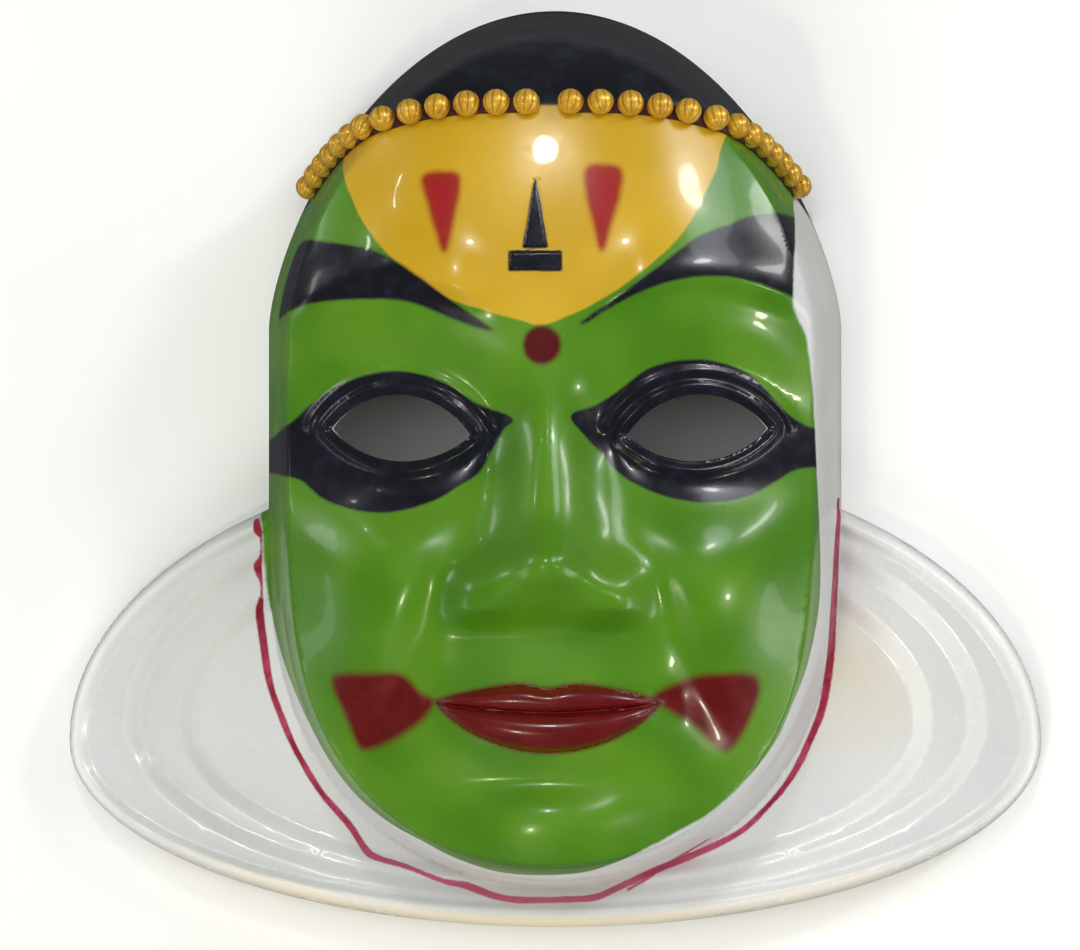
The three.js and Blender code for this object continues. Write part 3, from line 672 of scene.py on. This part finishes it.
FLARES = [
    [
        (-51.6, -50), (-43.4, -49.3), (-35.4, -49.4), (-30.6, -53.6), (-27.4, -55.6), (-29.4, -59.8),
        (-35.7, -64.6), (-42.6, -67.9), (-46.2, -67.2), (-49.6, -59.3), (-52.3, -53.5),
    ],
    [
        (25.4, -53.9), (34.4, -50), (40.9, -49.3), (49, -49.6), (50.8, -53.3), (49, -59.1),
        (46.2, -64.8), (43, -68.4), (39.8, -67), (34.2, -61.5), (27.4, -57.3),
    ],
]
# Middle of the round dot between the brows, and its radius
BINDI = (-1.4, 29.0, 4.6)
# Brushed strokes of the crimson line, with half the width of the stroke at each point
CRIMSON_STROKES = [
    [
        (-74.8, -13.6, 0.9), (-74.5, -15.6, 1.1), (-73.9, -17.5, 0.4), (-73.7, -20, 0.3),
        (-74, -22.6, 0.4), (-74.8, -24.8, 1.0), (-74.6, -26.4, 0.9), (-74, -29, 0.35),
        (-73.9, -32.5, 0.3),
    ],
    [
        (-74.1, -33.4, 0.7), (-74.6, -37, 1.1), (-73.7, -44.2, 1.05), (-72.2, -54.1, 0.9),
        (-69.1, -63.2, 0.8), (-65.1, -72.2, 0.8), (-59, -82.1, 0.75), (-51.9, -90, 0.85),
        (-47.8, -95.9, 0.9), (-44.6, -98.2, 0.7), (-36.6, -100.5, 0.55), (-27.6, -103.8, 0.6),
        (-21.6, -104.9, 0.85), (-15.5, -107, 0.8), (-9.5, -108.1, 0.8), (1.3, -108.1, 0.8),
        (10.2, -107.6, 0.8), (16.2, -105.3, 0.7), (26.8, -100.6, 0.95), (36.9, -96.8, 0.9),
        (47, -91.8, 0.7), (54.1, -85.3, 0.7), (60.2, -77.8, 0.8), (64.9, -68.4, 0.9), (68, -60, 1.0),
        (69.8, -48.3, 1.1), (70.4, -36, 1.0), (70.8, -27.8, 0.9), (71.2, -17.8, 0.7), (72, -8, 0.45),
    ],
    [(18.8, -105.8, 0.3), (24.4, -102.6, 0.35), (30, -98.6, 0.35), (37, -94.4, 0.3), (40, -92.6, 0.15)],
]


def lips_outline():
    """Outline of the red of the lips, which goes a little past them above and below."""
    past_above, past_below = 0.6, 0.4
    x = np.linspace(-LIP_HALF, LIP_HALF, 61)
    _, line, upper, lower = lip_edges(x)
    top, bottom = line + upper + past_above, line - lower - past_below
    return np.vstack([np.stack([x, bottom], 1), np.stack([x, top], 1)[::-1]])


def paint_distances(x, y):
    """For each painted field, how far inside its edge a point lies."""

    def within(*loops):
        return np.max([inside_distance(x, y, closed_curve(loop)) for loop in loops], axis=0)

    slope = HAIRLINE_FALL * HAIRLINE_POWER / TRIM_END * np.abs(x / TRIM_END) ** (HAIRLINE_POWER - 1)
    above_hairline = (y - hairline(x)) / np.hypot(1, np.minimum(slope, 2))
    distances = {
        "green": within(GREEN_FIELD),
        "yellow": within(YELLOW_FIELD),
        "drops": within(*DROPS),
        "bindi": BINDI[2] - np.hypot(x - BINDI[0], y - BINDI[1]),
        "mark": mark_distance(x, y),
        "brow": within(*BROWS),
        "eye": within(*EYE_PAINT),
        "flare": within(*FLARES),
        "lips": inside_distance(x, y, lips_outline()),
        "hair": np.minimum(above_hairline, oval_measure(x, y)[1] + 2),
        "line": stroke_distance(x, y, [open_curve(stroke) for stroke in CRIMSON_STROKES]),
    }
    return {name: np.clip(values, -FAR, FAR) for name, values in distances.items()}


def sheet_fields(outside, tris):
    """Values at the points of the sheet that its paint reads."""
    x, y, level = outside.T
    fields = {}
    for name, values in paint_distances(x, y).items():
        fields[name] = surface_distance(outside, tris, values)
    foot = oval_measure(x, y)[1]
    upright = vertex_normals(outside, tris)[:, 2]
    steep, sloping = smooth(0.4, 0.15, upright), smooth(0.85, 0.65, upright)
    on_ruff = smooth(-3, -15, foot)
    fields["dish"] = np.where(foot > 0, 0.9, ruff_share(x, y))
    fields["low"] = (RUFF_CENTRE_Y - y) / RUFF_EDGE[2]
    # Steep walls: the paint makes them duller, and on the upper head greyer as painted shade
    fields["wall"] = (1 - on_ruff) * np.maximum(steep, sloping * smooth(26, 16, level))
    # Steepness of the ruff's ring steps, which the paint lightens as a painted highlight
    fields["step"] = on_ruff * smooth(0.988, 0.93, upright)
    return fields


def add_mesh(name, points, faces, materials, face_slots=None):
    """Smooth mesh from points in millimetres."""
    mesh = bpy.data.meshes.new(name)
    places = [tuple(point) for point in np.asarray(points) * MM]
    mesh.from_pydata(places, [], [tuple(int(i) for i in face) for face in faces])
    for material in materials:
        mesh.materials.append(material)
    if face_slots is not None:
        mesh.polygons.foreach_set("material_index", np.asarray(face_slots, np.int32))
    mesh.polygons.foreach_set("use_smooth", np.ones(len(mesh.polygons), bool))
    mesh.update()
    piece = bpy.data.objects.new(name, mesh)
    bpy.context.scene.collection.objects.link(piece)
    return piece


def add_field(piece, name, values):
    attribute = piece.data.attributes.new(name, "FLOAT", "POINT")
    attribute.data.foreach_set("value", np.asarray(values, np.float32))


def linear(rgb):
    """A colour given in 0 to 255 steps, as the shader wants it."""
    shares = [c / 255 for c in rgb]
    return tuple(c / 12.92 if c < 0.04045 else ((c + 0.055) / 1.055) ** 2.4 for c in shares) + (1.0,)


# Colours in steps of 0 to 255. Where a paint has two, it varies from one to the other.
DISH_WHITES = (213, 214, 214), (203, 204, 205)
# Painted shade: the bare plastic darker towards the right side
RIGHT_SHADE_WHITE = (196, 197, 198)
# Painted warm shade in the dish next to the face
DISH_SHADE_CREAM = (203, 194, 169)
SKIRT_WHITE = (236, 236, 235)
# Painted warm shade on the downward-facing lower rim
RIM_SHADE_CREAM = (246, 228, 186)
# Painted highlight on the slopes of the ring steps
STEP_HIGHLIGHT_WHITE = (238, 238, 236)
# Painted shade on the upper side walls
WALL_SHADE_GREY = (176, 178, 172)
CLOUDY_WHITE = (214, 214, 211)
BACK_WHITES = (222, 220, 212), (234, 233, 229)
GREENS = (66, 118, 14), (84, 133, 24)
YELLOWS = (188, 150, 22), (198, 160, 34)
DROP_REDS = (146, 34, 16), (150, 20, 30)
BINDI_RED = (78, 6, 10)
LIP_REDS = (86, 8, 8), (99, 12, 12)
INKS = (12, 12, 21), (24, 24, 42)
HAIR_INKS = (14, 15, 22), (24, 30, 36)
CRIMSONS = (138, 22, 52), (170, 56, 88)
# Painted light on the crimson line at the bottom
LIT_CRIMSON = (186, 84, 112)
GOLDS = (210, 158, 40), (226, 182, 62)
# Painted shade in the grooves between the beads' ribs
GROOVE_SHADE_GOLD = (150, 94, 28)
WORN_GOLD = (160, 96, 34)
TAPE_REDS = (38, 10, 20), (74, 18, 30)
FLOOR_WHITE = (240, 240, 239)


class Paint:
    """Small helper that builds a node material."""

    def __init__(self, name, **settings):
        self.material = bpy.data.materials.new(name)
        self.material.use_nodes = True
        self.tree = self.material.node_tree
        self.tree.nodes.clear()
        output = self.tree.nodes.new("ShaderNodeOutputMaterial")
        self.shader = self.tree.nodes.new("ShaderNodeBsdfPrincipled")
        self.tree.links.new(self.shader.outputs[0], output.inputs["Surface"])
        self.place = self.node("TexCoord", "Object")
        for key, value in settings.items():
            self.set(key.replace("_", " ").title(), value)

    def feed(self, socket, value):
        if isinstance(value, bpy.types.NodeSocket):
            self.tree.links.new(value, socket)
        else:
            socket.default_value = value

    def set(self, name, value):
        self.feed(self.shader.inputs[name], value)

    def node(self, kind, output=0, inputs=None, **settings):
        """Adds a node, feeds its inputs and returns one of its outputs."""
        node = self.tree.nodes.new("ShaderNode" + kind)
        for key, value in settings.items():
            setattr(node, key, value)
        for key, value in (inputs or {}).items():
            self.feed(node.inputs[key], value)
        return node.outputs[output]

    def field(self, name):
        return self.node("Attribute", "Fac", attribute_name=name)

    def axis(self, name):
        return self.node("SeparateXYZ", name, {0: self.place})

    def noise(self, scale, detail, roughness=0.5):
        inputs = {"Vector": self.place, "Scale": scale, "Detail": detail, "Roughness": roughness}
        return self.node("TexNoise", "Fac", inputs)

    def math(self, operation, *values):
        return self.node("Math", 0, dict(enumerate(values)), operation=operation)

    def product(self, a, b):
        return self.math("MULTIPLY", a, b)

    def between(self, share, a, b):
        return self.math("MULTIPLY_ADD", share, b - a, a)

    def ramp(self, value, low, high, to_low=0.0, to_high=1.0):
        inputs = {"Value": value, "From Min": low, "From Max": high, "To Min": to_low, "To Max": to_high}
        return self.node("MapRange", 0, inputs, interpolation_type="SMOOTHSTEP")

    def blend(self, share, a, b):
        return self.node("Mix", 2, {"Factor": share, 6: a, 7: b}, data_type="RGBA")

    def varied(self, value, low, high, tones):
        """Colour that goes from one tone to the other as a value goes from low to high."""
        return self.blend(self.ramp(value, low, high), linear(tones[0]), linear(tones[1]))

    def bump(self, height, distance, strength):
        return self.node("Bump", 0, {"Strength": strength, "Distance": distance, "Height": height})


def plastic_tone(p, slow):
    """Bare white plastic of uneven white, with painted shade and painted highlights. Places are in metres.
    """
    dish, across, up = p.field("dish"), p.axis("X"), p.axis("Y")
    # Where the painted warm shade lies: the inner dish by the face, on the right side
    face_shade = p.product(p.ramp(dish, 0.84, 0.64), p.ramp(across, 0.02, 0.07, 0, 0.75))
    # Where the painted warm shade lies: the outer rim, towards the bottom
    shaded_rim_below = p.product(p.ramp(dish, 0.88, 0.95), p.ramp(p.field("low"), 0.5, 0.85))
    layers = (
        # Painted shade: darker towards the right
        (p.ramp(across, 0.0, 0.07, 0, 0.55), RIGHT_SHADE_WHITE),
        # Painted warm shade in the dish next to the face
        (p.product(face_shade, p.ramp(up, -0.085, -0.045)), DISH_SHADE_CREAM),
        (p.ramp(dish, 0.955, 0.985), SKIRT_WHITE),
        # Painted warm shade on the lower rim
        (shaded_rim_below, RIM_SHADE_CREAM),
        # Painted highlight: ring step slopes lighter, more so on the right
        (p.product(p.field("step"), p.ramp(across, -0.06, 0.06, 0.4, 0.6)), STEP_HIGHLIGHT_WHITE),
        # Painted shade: the upper walls greyer
        (p.product(p.field("wall"), p.ramp(up, -0.05, 0.0, 0, 0.7)), WALL_SHADE_GREY),
        (p.ramp(slow, 0.2, 0.8, 0, 0.3), CLOUDY_WHITE),
    )
    tone = p.varied(dish, 0.74, 0.88, DISH_WHITES)
    for share, colour in layers:
        tone = p.blend(share, tone, linear(colour))
    return tone


def sheet_paint():
    """White glossy plastic with sprayed and brushed paint, some painted shade and light, and a clear gloss
    over it.
    """
    p = Paint("painted_plastic", coat_weight=0.2, coat_roughness=0.04)
    fine, soft, slow = p.noise(900, 3), p.noise(240, 2), p.noise(45, 1)
    wobble = p.math("MULTIPLY_ADD", fine, 0.5, p.math("MULTIPLY_ADD", soft, 1.1, -0.8))

    def cover(name, width, uneven, shift=0.0):
        moved = p.math("MULTIPLY_ADD", wobble, uneven, p.field(name))
        return p.ramp(moved, shift - width, shift + width)

    edge = cover("green", 0.6, 0.7)
    base = p.blend(edge, plastic_tone(p, slow), p.varied(slow, 0.3, 0.7, GREENS))
    lip_tone, ink_tone = p.varied(soft, 0.2, 0.85, LIP_REDS), p.varied(soft, 0.4, 0.8, INKS)
    # Painted light: the crimson line paler at the bottom, where the foot of the wall shades it
    painted_light_below = p.ramp(p.axis("Y"), -0.085, -0.105)
    line_tone = p.blend(painted_light_below, p.varied(soft, 0.35, 0.7, CRIMSONS), linear(LIT_CRIMSON))
    # For each coat: its field, how soft, how uneven and how far moved its edge is in millimetres,
    # whether it ends where the green does, and its tone
    coats = (
        ("yellow", 0.35, 0.5, 0, True, p.varied(slow, 0.3, 0.7, YELLOWS)),
        ("drops", 1.15, 0.5, -0.2, False, p.varied(p.field("drops"), 0.6, 3.4, DROP_REDS)),
        ("bindi", 0.9, 0.5, 0, False, linear(BINDI_RED)),
        ("flare", 1.5, 0.5, 0, False, lip_tone),
        ("lips", 0.9, 0.5, 0, False, lip_tone),
        ("brow", 0.6, 0.45, 0, True, ink_tone),
        ("eye", 0.5, 0.45, 0, True, ink_tone),
        ("mark", 0.3, 0.45, -0.45, True, ink_tone),
        ("hair", 0.5, 0.45, 0, False, p.varied(p.noise(130, 3, 0.6), 0.45, 0.7, HAIR_INKS)),
        ("line", 0.28, 0.5, 0, False, line_tone),
    )
    for name, width, uneven, shift, in_green, tone in coats:
        share = cover(name, width, uneven, shift)
        if in_green:
            share = p.math("MINIMUM", edge, share)
        base = p.blend(share, base, tone)
    p.set("Base Color", base)
    gloss = p.between(p.ramp(soft, 0.2, 0.8), 0.22, 0.29)
    p.set("Roughness", p.math("MULTIPLY_ADD", p.field("wall"), 0.45, gloss))
    height = p.math("MULTIPLY_ADD", slow, 0.5, p.product(soft, 0.03))
    p.set("Normal", p.bump(height, p.between(p.field("wall"), 0.00035, 0.00002), 0.5))
    return p.material


def back_paint():
    """Inside of the sheet, which was never painted."""
    p = Paint("bare_plastic", coat_weight=0.2, coat_roughness=0.15)
    soft, fine = p.noise(60, 3), p.noise(1500, 2)
    p.set("Base Color", p.varied(soft, 0.35, 0.7, BACK_WHITES))
    p.set("Roughness", p.between(p.ramp(soft, 0.3, 0.7), 0.34, 0.5))
    p.set("Normal", p.bump(fine, 0.00004, 0.5))
    return p.material


def gold_paint():
    p = Paint("gold_plating", metallic=0.4, coat_weight=0.3, coat_roughness=0.15)
    soft, fine = p.noise(300, 3), p.noise(1600, 2)
    gold = p.varied(soft, 0.3, 0.7, GOLDS)
    # Painted shade: the grooves between the ribs darker
    base = p.blend(p.ramp(p.field("rib"), 0.0, 0.7), linear(GROOVE_SHADE_GOLD), gold)
    p.set("Base Color", p.blend(p.ramp(fine, 0.62, 0.8, 0, 0.6), base, linear(WORN_GOLD)))
    p.set("Roughness", p.between(p.ramp(fine, 0.3, 0.7), 0.28, 0.42))
    p.set("Normal", p.bump(fine, 0.00003, 0.4))
    return p.material


def tape_paint():
    p = Paint("dark_tape", coat_weight=0.1)
    weave = p.noise(1800, 3)
    p.set("Base Color", p.varied(weave, 0.3, 0.7, TAPE_REDS))
    p.set("Roughness", p.between(weave, 0.45, 0.7))
    p.set("Normal", p.bump(weave, 0.0002, 0.7))
    return p.material


def mark_sharp(piece, edges):
    """Marks edges, each given by its two points, as sharp."""
    sharp = {tuple(sorted(edge)) for edge in edges.tolist()}
    ends = np.zeros(len(piece.data.edges) * 2, np.int32)
    piece.data.edges.foreach_get("vertices", ends)
    ends = np.sort(ends.reshape(-1, 2), axis=1)
    flags = np.array([tuple(pair) in sharp for pair in ends.tolist()])
    piece.data.edges.foreach_set("use_edge_sharp", flags)


def mask_piece():
    flat, tris = cut_eye_holes(*refine(*even_sheet()))
    edges = boundary_edges(tris)
    level = surface(flat[:, 0], flat[:, 1])
    from_middle = np.hypot(flat[edges[:, 0], 0], flat[edges[:, 0], 1] - MIDDLE_Y)
    level[np.unique(edges[from_middle > EYES_REACH])] = 0
    outside = np.column_stack([flat, level])
    inside = sunk_sheet(outside, tris, edges)
    n = len(flat)
    a, b = edges[:, 0], edges[:, 1]
    walls = np.vstack([np.stack([b, a, a + n], 1), np.stack([b, a + n, b + n], 1)])
    faces = np.vstack([tris, tris[:, ::-1] + n, walls])
    slots = np.concatenate([np.zeros(len(tris)), np.ones(len(tris) + len(walls))])
    materials = [sheet_paint(), back_paint()]
    piece = add_mesh("painted_mask", np.vstack([outside, inside]), faces, materials, slots)
    for name, values in sheet_fields(outside, tris).items():
        add_field(piece, name, np.tile(values, 2))
    mark_sharp(piece, np.vstack([edges, edges + n]))
    normals = np.zeros((2 * n, 3))
    normals[:n] = sheet_normals(flat[:, 0], flat[:, 1])
    normals[np.unique(edges)] = 0
    piece.data.normals_split_custom_set_from_vertices(normals.tolist())
    return piece


def on_sheet(x, y):
    """Point on the sheet and the direction square to it."""
    x, y = np.array([x]), np.array([y])
    slope_x, slope_y = slopes(surface, x, y, 0.5)
    return Vector((x[0], y[0], surface(x, y)[0])), Vector((-slope_x[0], -slope_y[0], 1)).normalized()


def trim_stations(side, spacing, step=0.05):
    """Places along one half of the hairline at even distances on the sheet."""
    stations, travelled, last = [], spacing, None
    for x in np.arange(TRIM_GAP / 2, TRIM_END, step):
        base, out = on_sheet(side * x, float(hairline(x)))
        if last is not None:
            travelled += (base - last).length
        if travelled >= spacing:
            stations.append([base, out])
            travelled -= spacing
        last = base
    for i, station in enumerate(stations):
        before, after = stations[max(i - 1, 0)][0], stations[min(i + 1, len(stations) - 1)][0]
        station.append((after - before).normalized())
    return stations


def bead_mesh(base, out, along, draw):
    """Fluted round bead with a flat back."""
    across = out.cross(along).normalized()
    around, rows = 72, 22
    turn, lean = draw.uniform(0, 2 * math.pi), draw.uniform(-0.2, 0.2)
    axis = (across * math.cos(lean) + along * math.sin(lean)).normalized()
    u = out.cross(axis).normalized()
    w = axis.cross(u).normalized()
    half = BEAD_DIAMETER / 2 * draw.uniform(0.965, 1.0)
    centre = base + out * (BEAD_TOP - half)
    points, faces, rib = [], [], []
    for row in range(rows + 1):
        polar = math.pi * row / rows
        for i in range(around):
            angle = 2 * math.pi * i / around
            ridge = abs(math.sin(BEAD_RIBS * (angle + turn) / 2)) ** 0.7
            reach = half * (1 - BEAD_GROOVE * (1 - ridge) * math.sin(polar) ** 0.6)
            flat = reach * math.sin(polar)
            rise = half * 0.96 * math.cos(polar)
            point = centre + u * (flat * math.cos(angle)) + w * (flat * math.sin(angle)) + axis * rise
            point += out * max(0, 0.05 - (point - base).dot(out))
            points.append(point)
            rib.append(ridge)
            if row in (0, rows):
                break

    def at(row, i):
        return 0 if row == 0 else 1 + (row - 1) * around + (i % around if row < rows else 0)

    for i in range(around):
        faces.append((at(0, 0), at(1, i), at(1, i + 1)))
        for row in range(1, rows - 1):
            faces.append((at(row, i), at(row + 1, i), at(row + 1, i + 1), at(row, i + 1)))
        faces.append((at(rows - 1, i), at(rows, 0), at(rows - 1, i + 1)))
    return points, faces, rib


def tape_mesh(stations):
    """Flat tape with rounded edges that carries the beads."""
    left = [(-1.9, 0.0), (-1.9, 0.45), (-1.55, 0.8)]
    right = [(-wide, up) for wide, up in reversed(left)]
    profile = [*left, (0, 0.95), *right, (0, -0.05)]
    points, faces = [], []
    for base, out, along in stations:
        across = out.cross(along).normalized()
        points += [base + across * wide + out * up for wide, up in profile]
    sides, last = len(profile), len(points) - len(profile)
    for start in range(0, last, sides):
        for k in range(sides):
            following = (k + 1) % sides
            faces.append((start + k, start + sides + k, start + sides + following, start + following))
    faces += [tuple(range(sides)), tuple(range(last + sides - 1, last - 1, -1))]
    return points, faces, [1] * len(points)


def trim_piece(name, side, seed):
    """Row of beads on its tape, on the left or the right of the gap in the middle."""
    draw = random.Random(seed)
    points, faces, slots, ribs = [], [], [], []
    parts = [(bead_mesh(*station, draw), 0) for station in trim_stations(side, BEAD_PITCH)]
    parts.append((tape_mesh(trim_stations(side, TAPE_SPACING)), 1))
    for (part, part_faces, rib), slot in parts:
        start = len(points)
        points += part
        faces += [tuple(i + start for i in face) for face in part_faces]
        slots += [slot] * len(part_faces)
        ribs += rib
    piece = add_mesh(name, points, faces, [GOLD, TAPE], slots)
    add_field(piece, "rib", ribs)
    return piece


def make_camera():
    """Camera of the photograph: straight down from a metre away, turned a little to one side."""
    turn, shift_x, shift_y = math.radians(1.5), -0.0037, -0.0018
    camera = bpy.data.objects.new("camera", bpy.data.cameras.new("camera"))
    bpy.context.scene.collection.objects.link(camera)
    camera.location = (math.sin(turn) + shift_x, shift_y, math.cos(turn))
    camera.rotation_euler = (0, turn, 0)
    camera.data.sensor_width = 36
    camera.data.lens = 130.7
    camera.data.clip_start, camera.data.clip_end = 0.05, 20
    bpy.context.scene.camera = camera


# Lamps: name, place in metres, size across and up, watts, and for some their colour and whether
# the gloss shows them
WHITE = (1, 1, 1)
LAMPS = (
    ("fill", (-0.55, 0.5, 2.1), (1.6, 1.6), 18.5, WHITE, False),
    ("right_fill", (0.7, 0.4, 1.85), (1.4, 1.4), 6.2, WHITE, False),
    ("low_fill", (-0.45, -1.4, 1.0), (1.4, 0.9), 13, (1, 0.98, 0.95), False),
    ("key", (-0.04, 0.76, 1.29), (0.085, 0.12), 2.4),
    ("left_lamp", (-1.01, 0.72, 0.83), (0.05, 0.012), 0.17),
    ("left_brow_lamp", (-1.09, 0.88, 0.48), (0.05, 0.03), 0.25),
    ("left_cheek_lamp", (-0.37, -0.55, 1.33), (0.12, 0.14), 2.6, (1, 0.97, 0.7)),
    ("right_lamp", (0.9, 0.7, 0.97), (0.12, 0.24), 3.0),
    ("right_glow", (0.95, 0.87, 0.75), (0.6, 0.45), 3.0, (0.92, 0.96, 1)),
    ("temple_strip", (1.28, 0.7, 0.28), (0.1, 0.5), 2.4),
    ("right_cheek_lamp", (1.2, -0.3, 0.81), (0.07, 0.1), 1.5, (1, 0.97, 0.8)),
    ("right_strip", (1.38, -0.55, 0.15), (0.9, 0.2), 2.0),
    ("left_low_strip", (-1.38, -0.6, 0.08), (1.2, 0.1), 0.9),
    ("left_high_strip", (-1.32, 0.42, 0.16), (0.5, 0.2), 1.3),
)


def add_light(name, place, size, power, colour=WHITE, glossy=True):
    """Soft round light that is turned to the mask."""
    data = bpy.data.lights.new(name, "AREA")
    data.shape, data.size, data.size_y = "ELLIPSE", *size
    data.energy, data.color = power, colour
    light = bpy.data.objects.new(name, data)
    bpy.context.scene.collection.objects.link(light)
    light.location = place
    lit_point = Vector((0, 0, 0.05))
    light.rotation_euler = (Vector(place) - lit_point).to_track_quat("Z", "Y").to_euler()
    light.visible_glossy = glossy


def make_stage():
    """Pale floor just under the mask, a dim studio round it, and the lamps."""
    reach, level = 3000, -0.2
    points = [(x, y, level) for x, y in ((-reach, -reach), (reach, -reach), (reach, reach), (-reach, reach))]
    p = Paint("pale_floor")
    p.set("Base Color", linear(FLOOR_WHITE))
    p.set("Roughness", 0.75)
    floor = add_mesh("floor", points, [(0, 1, 2, 3)], [p.material])
    floor.visible_glossy = False
    world = bpy.data.worlds.new("studio")
    bpy.context.scene.world = world
    world.use_nodes = True
    background = world.node_tree.nodes["Background"]
    background.inputs["Color"].default_value = (0.95, 0.97, 1.0, 1)
    background.inputs["Strength"].default_value = 0.13
    for lamp in LAMPS:
        add_light(*lamp)
    bpy.context.scene.view_settings.view_transform = "Standard"


make_camera()
make_stage()
GOLD, TAPE = gold_paint(), tape_paint()

mask = mask_piece()
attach(mask, "root")
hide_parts("mask_shell")

for trim_name, node, trim_side, trim_seed in (
    ("gold_beads_left", "bead_trim_left", -1, 5),
    ("gold_beads_right", "bead_trim_right", 1, 8),
):
    trim = trim_piece(trim_name, trim_side, trim_seed)
    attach(trim, "root")
    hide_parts(node)
